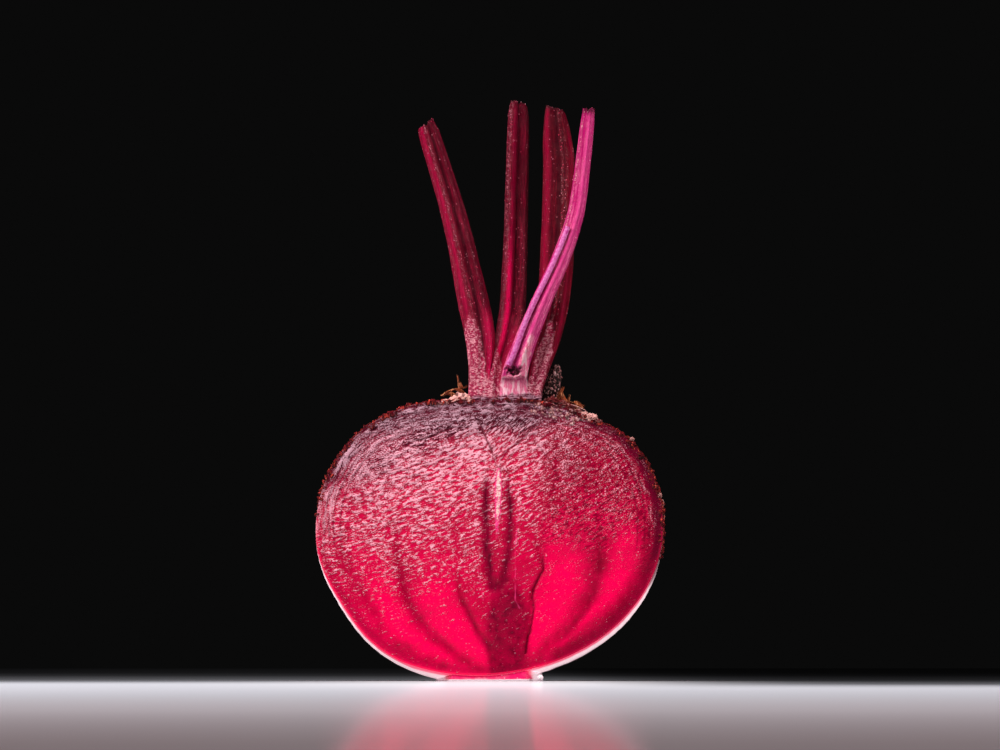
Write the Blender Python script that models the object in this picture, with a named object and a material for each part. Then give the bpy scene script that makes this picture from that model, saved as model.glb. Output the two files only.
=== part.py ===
"""Half a beetroot, cut lengthwise, with its trimmed leaf stalks, standing on its trimmed root end.

Units are metres and +Z is up. The origin is the centre of the flat foot. The cut face looks
towards -Y and leans back a little, so that it faces slightly upward.
"""
import math
from dataclasses import dataclass

import bmesh
import bpy
import numpy as np
from mathutils import Vector

# Root: a squat globe, elliptical below its widest level and squarer in the shoulder above it
HALF_WIDTH = 0.0375
HALF_DEPTH = 0.0310
WIDEST_Z = 0.0320
LOWER_RISE = 0.0325
UPPER_RISE = 0.0290
SHOULDER_POWER = 2.5
LOW_SKEW = 0.00275
LOW_SKEW_FADE = 0.0065
SWELL = 0.011

# Crown: the low mound that the stalks stand on
CROWN_X = 0.0034
CROWN_RISE = 0.0006
CROWN_SPREAD = 0.0200

# Foot: the stub of the taproot, trimmed flat
FOOT_HALF_WIDTH = 0.0112
FOOT_HALF_DEPTH = 0.0130
FOOT_FRONT_Y = -0.0094
FOOT_HEIGHT = 0.0013
FOOT_SIDE_MEAN = 0.62
FOOT_SIDE_SLOPE = 0.32

# Cut face: a plane that leans back from the foot
CUT_Y_AT_FOOT = -0.0100
CUT_LEAN = math.radians(5.0)

# Grooves of the cut face: those round the pale slit at its middle, and shallower growth rings
GROOVE_DEPTH = 0.0007
RING_DEPTH = 0.0003
GROOVE_HALF_WIDTH = 0.00045
GROOVE_ROWS = 9

# Clearance between neighbouring pieces
GAP = 0.0003

# Mesh fineness
ROOT_SEGMENTS = 72
LOWER_ROWS = 10
UPPER_ROWS = 12
STALK_SEGMENTS = 28
STALK_ROWS = 24
STALK_RIBS = 8
STUB_ROWS = 9
STUB_SEGMENTS = 12
SCALE_ROWS = 6

# Papery scales
SCALE_THICKNESS = 0.0007


@dataclass(frozen=True)
class Station:
    """One level of a stalk: where its centre is and how broad and deep it is there."""

    x: float
    y: float
    z: float
    width: float
    depth: float


@dataclass(frozen=True)
class Stalk:
    """A leaf stalk, from its base in the crown to its trimmed tip."""

    name: str
    color: tuple[float, float, float]
    channel_turn: float
    channel: float
    rib: float
    tip_notch: float
    tip_slope: float
    stations: tuple[Station, ...]


@dataclass(frozen=True)
class Strip:
    """A papery scale: a curved strip through a few points, with its widths at base and tip."""

    points: tuple[tuple[float, float, float], ...]
    base_width: float
    tip_width: float
    turn: float


STALKS = (
    Stalk(
        name="petiole_left",
        color=(0.30, 0.010, 0.045),
        channel_turn=0.10,
        channel=0.42,
        rib=0.05,
        tip_notch=0.0016,
        tip_slope=0.25,
        stations=(
            Station(-0.0018, -0.0036, 0.0585, 0.0049, 0.0060),
            Station(-0.0018, -0.0034, 0.0636, 0.0048, 0.0056),
            Station(-0.0018, -0.0022, 0.0728, 0.0058, 0.0050),
            Station(-0.0034, -0.0002, 0.0819, 0.0062, 0.0046),
            Station(-0.0075, 0.0034, 0.1003, 0.0052, 0.0040),
            Station(-0.0129, 0.0062, 0.1185, 0.0045, 0.0034),
            Station(-0.0137, 0.0066, 0.1212, 0.0034, 0.0028),
        ),
    ),
    Stalk(
        name="petiole_middle",
        color=(0.22, 0.006, 0.030),
        channel_turn=0.35,
        channel=0.36,
        rib=0.05,
        tip_notch=0.0010,
        tip_slope=-0.05,
        stations=(
            Station(0.0022, 0.0030, 0.0585, 0.0064, 0.0052),
            Station(0.0024, 0.0032, 0.0636, 0.0060, 0.0050),
            Station(0.0039, 0.0042, 0.0728, 0.0056, 0.0046),
            Station(0.0051, 0.0056, 0.0823, 0.0053, 0.0042),
            Station(0.0059, 0.0078, 0.1007, 0.0051, 0.0038),
            Station(0.0063, 0.0096, 0.1190, 0.0047, 0.0034),
            Station(0.0064, 0.0102, 0.1255, 0.0033, 0.0026),
        ),
    ),
    Stalk(
        name="petiole_right_back",
        color=(0.24, 0.007, 0.032),
        channel_turn=-0.20,
        channel=0.34,
        rib=0.06,
        tip_notch=0.0013,
        tip_slope=-0.30,
        stations=(
            Station(0.0114, -0.0030, 0.0575, 0.0038, 0.0058),
            Station(0.0114, -0.0029, 0.0636, 0.0038, 0.0054),
            Station(0.0121, -0.0014, 0.0728, 0.0054, 0.0050),
            Station(0.0137, 0.0012, 0.0821, 0.0066, 0.0046),
            Station(0.0147, 0.0036, 0.0914, 0.0069, 0.0044),
            Station(0.0152, 0.0068, 0.1098, 0.0066, 0.0040),
            Station(0.0147, 0.0082, 0.1188, 0.0059, 0.0036),
            Station(0.0144, 0.0088, 0.1240, 0.0037, 0.0026),
        ),
    ),
    Stalk(
        name="petiole_right_front",
        color=(0.55, 0.035, 0.190),
        channel_turn=-0.60,
        channel=0.20,
        rib=0.06,
        tip_notch=0.0007,
        tip_slope=0.10,
        stations=(
            Station(0.0052, -0.0040, 0.0585, 0.0074, 0.0052),
            Station(0.0053, -0.0042, 0.0626, 0.0070, 0.0050),
            Station(0.0059, -0.0048, 0.0664, 0.0056, 0.0044),
            Station(0.0084, -0.0056, 0.0728, 0.0047, 0.0040),
            Station(0.0117, -0.0052, 0.0819, 0.0043, 0.0036),
            Station(0.0156, -0.0032, 0.0907, 0.0041, 0.0034),
            Station(0.0186, -0.0012, 0.1000, 0.0037, 0.0031),
            Station(0.0200, 0.0004, 0.1090, 0.0034, 0.0028),
            Station(0.0211, 0.0018, 0.1182, 0.0031, 0.0026),
            Station(0.0216, 0.0024, 0.1232, 0.0027, 0.0022),
        ),
    ),
)

# The slender stalk bends forward of the cut. Only its sheath, below this height, is sliced flat
SHEATHED_STALK = "petiole_right_front"
SHEATH_TOP_Z = 0.0650
NOTCH_CENTRE = (0.0050, -0.0068, 0.0656)
NOTCH_RADII = (0.0017, 0.0014, 0.0010)

# Withered stub of an older stalk
STUB_BASE = (0.0139, 0.0022, 0.0580)
STUB_HEIGHT = 0.0104
STUB_LEAN = 0.0012
STUB_BASE_RADIUS = 0.0015
STUB_TIP_RADIUS = 0.0008
STUB_SEED = 11

SCALES_LEFT = (
    Strip(((-0.0063, -0.0030, 0.0602), (-0.0069, -0.0034, 0.0625), (-0.0084, -0.0036, 0.0626),
           (-0.0102, -0.0034, 0.0615)), 0.0018, 0.0013, 0.5),
    Strip(((-0.0062, -0.0012, 0.0602), (-0.0063, -0.0014, 0.0628), (-0.0066, -0.0013, 0.0650)),
          0.0018, 0.0010, 0.2),
    Strip(((-0.0076, -0.0008, 0.0598), (-0.0086, -0.0006, 0.0618), (-0.0098, -0.0002, 0.0626)),
          0.0020, 0.0010, -0.3),
)
SCALES_LEFT_PAD = ((-0.0072, -0.0018, 0.0610), (0.0021, 0.0022, 0.0013))

SCALES_RIGHT = (
    Strip(((0.0178, -0.0026, 0.0574), (0.0171, -0.0030, 0.0602), (0.0162, -0.0030, 0.0628)),
          0.0026, 0.0014, 0.1),
    Strip(((0.0182, -0.0024, 0.0576), (0.0190, -0.0028, 0.0600), (0.0206, -0.0030, 0.0596)),
          0.0022, 0.0015, 0.3),
    Strip(((0.0180, -0.0004, 0.0574), (0.0186, -0.0004, 0.0596), (0.0188, -0.0006, 0.0614)),
          0.0020, 0.0010, -0.4),
    Strip(((0.0194, -0.0006, 0.0570), (0.0208, -0.0004, 0.0590), (0.0220, -0.0004, 0.0584)),
          0.0020, 0.0012, -0.2),
)
SCALES_RIGHT_PAD = ((0.0186, -0.0016, 0.0586), (0.0022, 0.0023, 0.0013))

# Centre lines on the cut face, as x and z
GROOVES = (
    ((0.0022, 0.0454), (0.0020, 0.0390), (0.0018, 0.0330), (0.0017, 0.0271)),
    ((-0.0002, 0.0420), (-0.0006, 0.0350), (-0.0002, 0.0270), (0.0012, 0.0196)),
    ((0.0044, 0.0420), (0.0049, 0.0350), (0.0043, 0.0270), (0.0022, 0.0196)),
)
RINGS = (
    ((-0.0065, 0.0230), (-0.0055, 0.0180), (-0.0044, 0.0145), (-0.0019, 0.0091)),
    ((0.0113, 0.0262), (0.0098, 0.0215), (0.0085, 0.0172), (0.0077, 0.0075)),
    ((-0.0187, 0.0267), (-0.0163, 0.0166), (-0.0131, 0.0111), (-0.0076, 0.0061)),
    ((0.0233, 0.0282), (0.0219, 0.0194), (0.0180, 0.0118), (0.0113, 0.0056)),
)


def clear_scene() -> None:
    """Remove every object, so that the file holds only this model."""
    for item in list(bpy.data.objects):
        bpy.data.objects.remove(item, do_unlink=True)


def make_material(name: str, color: tuple[float, float, float], roughness: float) -> bpy.types.Material:
    """A Principled material with one colour and roughness."""
    material = bpy.data.materials.new(name)
    material.use_nodes = True
    shader = material.node_tree.nodes["Principled BSDF"]
    shader.inputs["Base Color"].default_value = (*color, 1.0)
    shader.inputs["Roughness"].default_value = roughness
    shader.inputs["Metallic"].default_value = 0.0
    return material


def add_object(name: str, mesh_data: bmesh.types.BMesh, smooth: bool = True) -> bpy.types.Object:
    """Put a bmesh in the scene as an object, faces outward."""
    bmesh.ops.recalc_face_normals(mesh_data, faces=mesh_data.faces)
    mesh = bpy.data.meshes.new(name)
    mesh_data.to_mesh(mesh)
    mesh_data.free()
    if smooth:
        mesh.shade_smooth()
        mesh.set_sharp_from_angle(angle=math.radians(40.0))
    item = bpy.data.objects.new(name, mesh)
    bpy.context.scene.collection.objects.link(item)
    return item


def mark_as_cutter(item: bpy.types.Object) -> None:
    """Show an object as a wire guide that is no part of the model."""
    item.hide_render = True
    item.display_type = "WIRE"


def cut_with(item: bpy.types.Object, cutter: bpy.types.Object) -> None:
    """Take a cutter's volume away from an object."""
    modifier = item.modifiers.new(f"cut_{cutter.name}", "BOOLEAN")
    modifier.operation = "DIFFERENCE"
    modifier.solver = "EXACT"
    modifier.object = cutter


def apply_modifiers(item: bpy.types.Object) -> None:
    """Replace an object's mesh by its evaluated one."""
    graph = bpy.context.evaluated_depsgraph_get()
    mesh = bpy.data.meshes.new_from_object(item.evaluated_get(graph))
    item.modifiers.clear()
    item.data = mesh


def loft(rings: list[list[Vector]], base: Vector | None, tip: Vector | None) -> bmesh.types.BMesh:
    """Join rings of equal size into a closed body, each end capped by a fan or one flat face."""
    mesh_data = bmesh.new()
    rows = [[mesh_data.verts.new(point) for point in ring] for ring in rings]
    count = len(rows[0])
    for lower, upper in zip(rows, rows[1:]):
        for i in range(count):
            j = (i + 1) % count
            mesh_data.faces.new((lower[i], lower[j], upper[j], upper[i]))
    for row, centre in ((rows[0], base), (rows[-1], tip)):
        if centre is None:
            mesh_data.faces.new(row)
            continue
        hub = mesh_data.verts.new(centre)
        for i in range(count):
            mesh_data.faces.new((row[i], row[(i + 1) % count], hub))
    return mesh_data


def spline(points: np.ndarray, share: float) -> np.ndarray:
    """A point on the Catmull-Rom curve through rows of numbers, from share 0 to share 1."""
    spans = len(points) - 1
    place = min(max(share, 0.0), 1.0) * spans
    index = min(int(place), spans - 1)
    t = place - index
    p1 = points[index]
    p2 = points[index + 1]
    p0 = points[index - 1] if index > 0 else 2.0 * p1 - p2
    p3 = points[index + 2] if index + 2 <= spans else 2.0 * p2 - p1
    a = 2.0 * p1
    b = p2 - p0
    c = 2.0 * p0 - 5.0 * p1 + 4.0 * p2 - p3
    d = 3.0 * (p1 - p2) + p3 - p0
    return 0.5 * (a + b * t + c * t * t + d * t ** 3)


def cut_y(height: float) -> float:
    """Depth of the cut plane at a height."""
    return CUT_Y_AT_FOOT + height * math.tan(CUT_LEAN)


def root_point(row_angle: float, around: float) -> Vector:
    """A point of the root's skin. row_angle runs from the foot, below zero, up to the crown."""
    power = 1.0 if row_angle < 0.0 else 2.0 / SHOULDER_POWER
    rise = LOWER_RISE if row_angle < 0.0 else UPPER_RISE
    spread = math.cos(row_angle) ** power
    height = WIDEST_Z + math.copysign(abs(math.sin(row_angle)) ** power, row_angle) * rise
    lobes = math.sin(around) * math.sin(3.0 * around + 0.7)
    swell = 1.0 + SWELL * lobes * spread
    x = HALF_WIDTH * spread * swell * math.cos(around)
    y = HALF_DEPTH * spread * swell * math.sin(around)
    x -= LOW_SKEW * math.exp(-height / LOW_SKEW_FADE)
    off_centre = math.hypot(x - CROWN_X, y)
    if row_angle > 0.0:
        height += CROWN_RISE * math.exp(-((off_centre / CROWN_SPREAD) ** 2)) * math.sin(row_angle)
    return Vector((x, y, height))


def foot_ring(height: float) -> list[Vector]:
    """The foot's outline: an ellipse with its front cut square. Its side is higher on the right."""
    ring = []
    for i in range(ROOT_SEGMENTS):
        around = 2.0 * math.pi * i / ROOT_SEGMENTS
        y = max(FOOT_HALF_DEPTH * math.sin(around), FOOT_FRONT_Y)
        side = FOOT_SIDE_MEAN + FOOT_SIDE_SLOPE * math.cos(around)
        ring.append(Vector((FOOT_HALF_WIDTH * math.cos(around), y, height * side)))
    return ring


def root_mesh(grow: float = 0.0) -> bmesh.types.BMesh:
    """The whole root before the cut, with its skin moved out by grow."""
    first = -math.asin((WIDEST_Z - FOOT_HEIGHT) / LOWER_RISE)
    angles = [first * (1.0 - i / LOWER_ROWS) for i in range(LOWER_ROWS)]
    angles += [0.5 * math.pi * i / UPPER_ROWS for i in range(UPPER_ROWS)]
    rings = [foot_ring(0.0), foot_ring(FOOT_HEIGHT)]
    for angle in angles:
        step = 2.0 * math.pi / ROOT_SEGMENTS
        rings.append([root_point(angle, i * step) for i in range(ROOT_SEGMENTS)])
    mesh_data = loft(rings, None, root_point(0.5 * math.pi, 0.0))
    bmesh.ops.recalc_face_normals(mesh_data, faces=mesh_data.faces)
    mesh_data.normal_update()
    for vertex in mesh_data.verts:
        vertex.co += vertex.normal * grow
    return mesh_data


def slab_cutter(name: str, low: float, high: float) -> bpy.types.Object:
    """Everything in front of the cut plane, between two heights."""
    reach = 2.0 * HALF_WIDTH
    rings = []
    for z in (low, high):
        back = cut_y(z)
        rings.append([Vector((-reach, -reach, z)), Vector((reach, -reach, z)),
                      Vector((reach, back, z)), Vector((-reach, back, z))])
    cutter = add_object(name, loft(rings, None, None), smooth=False)
    mark_as_cutter(cutter)
    return cutter


def groove_cutter(name: str, path: tuple[tuple[float, float], ...], depth: float) -> bpy.types.Object:
    """A long wedge that follows a line on the cut face, edge inward and thin at both ends."""
    points = np.array(path)
    rings = []
    for row in range(GROOVE_ROWS):
        share = row / (GROOVE_ROWS - 1)
        x, z = spline(points, share)
        fade = max(math.sin(math.pi * share), 0.08)
        half = GROOVE_HALF_WIDTH * fade
        deep = depth * fade
        y = cut_y(z)
        rings.append([Vector((x - 2.0 * half, y - deep, z)), Vector((x + 2.0 * half, y - deep, z)),
                      Vector((x, y + deep, z))])
    cutter = add_object(name, loft(rings, None, None), smooth=False)
    mark_as_cutter(cutter)
    return cutter


def build_root(face_cutter: bpy.types.Object) -> bpy.types.Object:
    """The cut root with the grooves at the middle of its face."""
    root = add_object("root_half", root_mesh())
    cut_with(root, face_cutter)
    for index, path in enumerate(GROOVES):
        cut_with(root, groove_cutter(f"groove_{index}", path, GROOVE_DEPTH))
    for index, path in enumerate(RINGS):
        cut_with(root, groove_cutter(f"ring_{index}", path, RING_DEPTH))
    root.data.materials.append(make_material("beet_flesh", (0.42, 0.004, 0.070), 0.45))
    return root


def stalk_section(stalk: Stalk, width: float, depth: float, flutes: float) -> list[tuple[float, float]]:
    """Outline of a stalk across its length: ribbed, with a channel down its inner side."""
    outline = []
    for i in range(STALK_SEGMENTS):
        around = 2.0 * math.pi * i / STALK_SEGMENTS
        ribs = 1.0 + stalk.rib * flutes * math.cos(STALK_RIBS * around)
        across = 0.5 * width * ribs * math.cos(around)
        deep = 0.5 * depth * ribs * math.sin(around)
        hollow = stalk.channel * depth * math.exp(-((across / (0.19 * width)) ** 2))
        if deep < 0.0:
            deep += hollow * min(1.0, -2.0 * deep / depth)
        outline.append((across, deep))
    return outline


def stalk_frame(points: np.ndarray, share: float, turn: float) -> tuple[Vector, Vector]:
    """Directions across and through a stalk at a share of its length."""
    step = 0.01
    ahead = spline(points, min(share + step, 1.0))
    behind = spline(points, max(share - step, 0.0))
    along = Vector((ahead - behind)[:3]).normalized()
    across = Vector((math.cos(turn), math.sin(turn), 0.0))
    across = (across - along * across.dot(along)).normalized()
    return across, along.cross(across)


def stalk_mesh(stalk: Stalk) -> bmesh.types.BMesh:
    """A tapering ribbed stalk whose tip is notched where the leaf was trimmed off."""
    keys = np.array([(s.x, s.y, s.z, s.width, s.depth) for s in stalk.stations])
    rings = []
    for row in range(STALK_ROWS):
        share = row / (STALK_ROWS - 1)
        x, y, z, width, depth = spline(keys, share)
        across, through = stalk_frame(keys, share, stalk.channel_turn)
        tip_fade = max(0.0, (share - 0.9) / 0.1)
        ring = []
        for u, v in stalk_section(stalk, width, depth, 1.0 - 0.5 * tip_fade):
            side = 2.0 * u / width
            lift = tip_fade * (stalk.tip_notch * (abs(side) - 0.5) + stalk.tip_slope * u)
            ring.append(Vector((x, y, z + lift)) + across * u + through * v)
        rings.append(ring)
    base = sum(rings[0], Vector()) / STALK_SEGMENTS
    tip = sum(rings[-1], Vector()) / STALK_SEGMENTS
    inner = [tip + (point - tip) * 0.72 - Vector((0.0, 0.0, 0.0004)) for point in rings[-1]]
    rings.append(inner)
    return loft(rings, base, tip - Vector((0.0, 0.0, 0.0012)))


def ellipsoid(centre: tuple[float, float, float], radii: tuple[float, float, float]) -> bmesh.types.BMesh:
    """A rounded lump with its own radius along each axis."""
    mesh_data = bmesh.new()
    bmesh.ops.create_icosphere(mesh_data, subdivisions=2, radius=1.0)
    for vertex in mesh_data.verts:
        scaled = [value * radius for value, radius in zip(vertex.co, radii)]
        vertex.co = Vector(centre) + Vector(scaled)
    return mesh_data


def notch_cutter() -> bpy.types.Object:
    """The small hollow scar above the slender stalk's sheath."""
    cutter = add_object("notch_cutter", ellipsoid(NOTCH_CENTRE, NOTCH_RADII))
    mark_as_cutter(cutter)
    return cutter


def build_stalks(crown: bpy.types.Object, face_cutter: bpy.types.Object) -> None:
    """The four stalks, each fitted to the crown and sliced by the knife where it passed."""
    sheath_cutter = slab_cutter("sheath_cutter", WIDEST_Z, SHEATH_TOP_Z)
    for stalk in STALKS:
        item = add_object(stalk.name, stalk_mesh(stalk))
        cut_with(item, crown)
        if stalk.name == SHEATHED_STALK:
            cut_with(item, sheath_cutter)
            cut_with(item, notch_cutter())
        else:
            cut_with(item, face_cutter)
        item.data.materials.append(make_material(f"{stalk.name}_skin", stalk.color, 0.40))


def build_stub(crown: bpy.types.Object) -> None:
    """The dried stub of an older stalk: a crumpled, tapering stump with a broken top."""
    random = np.random.default_rng(STUB_SEED)
    rings = []
    for row in range(STUB_ROWS):
        share = row / (STUB_ROWS - 1)
        radius = STUB_BASE_RADIUS + (STUB_TIP_RADIUS - STUB_BASE_RADIUS) * share
        centre = Vector(STUB_BASE) + Vector((STUB_LEAN * math.sin(3.0 * share), 0.0, STUB_HEIGHT * share))
        ring = []
        for i in range(STUB_SEGMENTS):
            around = 2.0 * math.pi * i / STUB_SEGMENTS
            reach = radius * random.uniform(0.82, 1.18)
            ring.append(centre + Vector((reach * math.cos(around), reach * math.sin(around), 0.0)))
        rings.append(ring)
    tip = Vector(STUB_BASE) + Vector((0.0, 0.0, STUB_HEIGHT - 0.0008))
    stub = add_object("withered_stub", loft(rings, Vector(STUB_BASE), tip))
    cut_with(stub, crown)
    stub.data.materials.append(make_material("withered_bark", (0.035, 0.018, 0.012), 0.90))


def strip_mesh(strip: Strip) -> bmesh.types.BMesh:
    """A curved strip of even thickness, wider at its base."""
    points = np.array(strip.points)
    side = Vector((math.sin(strip.turn), math.cos(strip.turn), 0.0))
    step = 0.02
    rings = []
    for row in range(SCALE_ROWS):
        share = row / (SCALE_ROWS - 1)
        centre = Vector(spline(points, share))
        ahead = spline(points, min(share + step, 1.0))
        behind = spline(points, max(share - step, 0.0))
        face = Vector(ahead - behind).cross(side).normalized() * 0.5 * SCALE_THICKNESS
        half = side * 0.5 * (strip.base_width + (strip.tip_width - strip.base_width) * share)
        rings.append([centre - half - face, centre + half - face, centre + half + face, centre - half + face])
    return loft(rings, None, None)


def build_scales(name: str, strips: tuple[Strip, ...], pad: tuple, crown: bpy.types.Object) -> None:
    """A bunch of papery scales joined at a low pad that follows the crown."""
    bunch = add_object(name, ellipsoid(*pad))
    blades = bpy.data.collections.new(f"{name}_strips")
    bpy.context.scene.collection.children.link(blades)
    for index, strip in enumerate(strips):
        blade = add_object(f"{name}_strip_{index}", strip_mesh(strip))
        bpy.context.scene.collection.objects.unlink(blade)
        blades.objects.link(blade)
    union = bunch.modifiers.new("join_strips", "BOOLEAN")
    union.operation = "UNION"
    union.solver = "EXACT"
    union.operand_type = "COLLECTION"
    union.collection = blades
    cut_with(bunch, crown)
    apply_modifiers(bunch)
    for blade in list(blades.objects):
        bpy.data.objects.remove(blade, do_unlink=True)
    bpy.data.collections.remove(blades)
    bunch.data.materials.clear()
    bunch.data.materials.append(make_material(f"{name}_paper", (0.32, 0.13, 0.045), 0.80))


def main() -> None:
    """Build the half beetroot."""
    clear_scene()
    face_cutter = slab_cutter("face_cutter", -HALF_WIDTH, 4.0 * HALF_WIDTH)
    crown = add_object("crown_cutter", root_mesh(GAP))
    mark_as_cutter(crown)
    build_root(face_cutter)
    build_stalks(crown, face_cutter)
    build_stub(crown)
    build_scales("dry_scales_left", SCALES_LEFT, SCALES_LEFT_PAD, crown)
    build_scales("dry_scales_right", SCALES_RIGHT, SCALES_RIGHT_PAD, crown)


if __name__ == "__main__":
    main()
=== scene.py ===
"""Dresses a halved beetroot that stands on its root end, with its floor and light.

Lengths inside the classes are millimetres, and become metres where a mesh is made.
"""
import logging
import math
from dataclasses import dataclass, replace
from enum import Enum
from typing import Optional, Sequence, Union

import bpy
import numpy as np
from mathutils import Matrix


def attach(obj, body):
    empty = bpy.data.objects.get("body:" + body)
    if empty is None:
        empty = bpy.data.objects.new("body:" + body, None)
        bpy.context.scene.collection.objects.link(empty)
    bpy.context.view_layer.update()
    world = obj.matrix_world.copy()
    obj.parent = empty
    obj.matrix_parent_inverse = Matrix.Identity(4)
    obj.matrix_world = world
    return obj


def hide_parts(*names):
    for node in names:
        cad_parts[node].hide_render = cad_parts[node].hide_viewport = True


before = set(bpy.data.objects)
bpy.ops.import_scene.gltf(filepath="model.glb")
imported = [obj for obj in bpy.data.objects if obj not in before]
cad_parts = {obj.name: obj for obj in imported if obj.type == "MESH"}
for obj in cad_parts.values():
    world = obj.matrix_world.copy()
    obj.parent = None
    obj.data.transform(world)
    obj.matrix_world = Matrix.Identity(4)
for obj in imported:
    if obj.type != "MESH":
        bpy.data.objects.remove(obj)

LOG = logging.getLogger("beetroot")
MM = 0.001
TURN = 2.0 * math.pi
BODY = "root"

Points = np.ndarray
Colour = tuple[float, float, float]
Place = tuple[float, float, float]
Table = tuple[tuple[float, ...], ...]
Faces = list[list[int]]
Strokes = tuple[tuple[float, float, Table], ...]
Material = bpy.types.Material
Piece = bpy.types.Object
Tree = bpy.types.NodeTree
Node = bpy.types.Node
Socket = bpy.types.NodeSocket
Source = Union[Socket, float, tuple]

BLACK: Colour = (0.0, 0.0, 0.0)


class Slot(Enum):
    """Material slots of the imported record."""

    ROOT = "beet_root"
    CRIMSON = "crimson_stalk"
    PINK = "pink_stalk"
    BARK = "withered_bark"
    SCALE = "dry_scale"


class Streak(Enum):
    """What a lengthwise streak on a leaf stalk shows."""

    FROST = 0
    DARK = 1
    BRIGHT = 2


def smooth(value: Points, start: float, end: float) -> Points:
    """Eases from 0 at start to 1 at end.

    Args:
        value: Numbers to ease.
        start: Value that gives 0.
        end: Value that gives 1. It may be below start.

    Returns:
        Numbers from 0 to 1.
    """
    share = np.clip((np.asarray(value, float) - start) / (end - start), 0.0, 1.0)
    return share * share * (3.0 - 2.0 * share)


def bell(value: Points, centre: float, half_width: float) -> Points:
    """Gives 1 at centre, falling away on both sides."""
    return np.exp(-(((np.asarray(value, float) - centre) / half_width) ** 2))


def path_distance(x: Points, z: Points, path: Union[Table, Points]) -> tuple[Points, Points]:
    """Measures how far points of the cut face lie from a line drawn on it.

    Args:
        x: Sideways places.
        z: Heights.
        path: Corners of the line.

    Returns:
        Distance to the line, and the share of the line reached, from 0 to 1.
    """
    corners = np.array(path, float)
    steps = np.linalg.norm(np.diff(corners, axis=0), axis=1)
    before = np.concatenate([[0.0], np.cumsum(steps)])
    best = np.full(np.shape(x), 1e9)
    reached = np.zeros(np.shape(x))
    for start, end, length, run in zip(corners[:-1], corners[1:], steps, before):
        share = ((x - start[0]) * (end[0] - start[0]) + (z - start[1]) * (end[1] - start[1])) / length**2
        share = np.clip(share, 0.0, 1.0)
        gap = np.hypot(x - start[0] - share * (end[0] - start[0]), z - start[1] - share * (end[1] - start[1]))
        reached = np.where(gap < best, (run + share * length) / before[-1], reached)
        best = np.minimum(best, gap)
    return best, reached


def spline(stations: Points, shares: Points) -> Points:
    """Draws a smooth line through stations.

    Args:
        stations: One row of numbers for each station.
        shares: Places along the line, from 0 to 1.

    Returns:
        One row of numbers for each share.
    """
    padded = np.concatenate([2 * stations[:1] - stations[1:2], stations, 2 * stations[-1:] - stations[-2:-1]])
    spot = np.clip(np.asarray(shares), 0.0, 1.0) * (len(stations) - 1)
    first = np.minimum(spot.astype(int), len(stations) - 2)
    t = (spot - first)[:, None]
    a, b, c, d = (padded[first + k] for k in range(4))
    return 0.5 * (2 * b + (c - a) * t + (2 * a - 5 * b + 4 * c - d) * t**2 + (3 * b - a - 3 * c + d) * t**3)


def curve(path: Table, places: int) -> Points:
    """Draws a smooth line of so many places through the corners of a path."""
    return spline(np.array(path), np.linspace(0.0, 1.0, places))


def lookup(value: Points, table: Table) -> Points:
    """Reads a table of places and amounts, straight between its rows."""
    places, amounts = np.array(table).T
    return np.interp(value, places, amounts)


class Grain:
    """Smooth noise that is the same on every run."""

    EDGES = np.array(
        [(a, b, 0) for a in (-1, 1) for b in (-1, 1)]
        + [(a, 0, b) for a in (-1, 1) for b in (-1, 1)]
        + [(0, a, b) for a in (-1, 1) for b in (-1, 1)],
        float,
    )

    def __init__(self, seed: int) -> None:
        """Shuffles the table of directions.

        Args:
            seed: Number that picks the pattern.
        """
        self.table = np.random.default_rng(seed).permutation(256)

    def at(self, *axes: Points) -> Points:
        """Samples the noise.

        Args:
            axes: Two or three coordinates, in cells of the pattern.

        Returns:
            Numbers from about -1 to 1.
        """
        parts = [np.asarray(a, float) for a in axes]
        if len(parts) == 2:
            parts.append(np.zeros_like(parts[0]) + 0.37)
        cells = [np.floor(p).astype(np.int64) for p in parts]
        inner = [p - c for p, c in zip(parts, cells)]
        fades = [p**3 * (p * (p * 6.0 - 15.0) + 10.0) for p in inner]
        total = np.zeros(np.broadcast(*parts).shape)
        for corner in np.ndindex(2, 2, 2):
            pick = self.table[(cells[0] + corner[0]) & 255]
            pick = self.table[(pick + cells[1] + corner[1]) & 255]
            pick = self.table[(pick + cells[2] + corner[2]) & 255]
            toward = self.EDGES[pick % 12]
            weight = 1.0
            lean = 0.0
            for axis in range(3):
                weight = weight * (fades[axis] if corner[axis] else 1.0 - fades[axis])
                lean = lean + toward[..., axis] * (inner[axis] - corner[axis])
            total += weight * lean
        return total

    def layered(self, *axes: Points, octaves: int = 3, gain: float = 0.5) -> Points:
        """Adds finer layers of the noise on top of each other.

        Args:
            axes: Two or three coordinates, in cells of the coarsest layer.
            octaves: Number of layers.
            gain: Strength of each layer against the one before.

        Returns:
            Numbers from about -2 to 2.
        """
        total, strength, zoom = 0.0, 1.0, 1.0
        for _ in range(octaves):
            total = total + strength * self.at(*[np.asarray(a, float) * zoom for a in axes])
            strength *= gain
            zoom *= 2.03
        return total


def place_object(name: str, data: bpy.types.ID) -> Piece:
    """Adds an object to the scene, unturned at the origin.

    Args:
        name: Name of the object.
        data: Its mesh, camera or light.

    Returns:
        The object.
    """
    made = bpy.data.objects.new(name, data)
    bpy.context.scene.collection.objects.link(made)
    return made


def tube_faces(rings: int, around: int) -> Faces:
    """Joins rings of corners into a tube that one point closes below and one above.

    Args:
        rings: Number of rings, from low to high.
        around: Corners in each ring.

    Returns:
        Outward faces. The closing points are numbered after the rings' corners.
    """
    number = np.arange(rings * around).reshape(rings, around)
    after = np.roll(number, -1, axis=1)
    faces = np.stack([number[:-1], after[:-1], after[1:], number[1:]], -1).reshape(-1, 4).tolist()
    low, high = rings * around, rings * around + 1
    faces += [[int(b), int(a), low] for a, b in zip(number[0], after[0])]
    return faces + [[int(a), int(b), high] for a, b in zip(number[-1], after[-1])]


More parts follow.
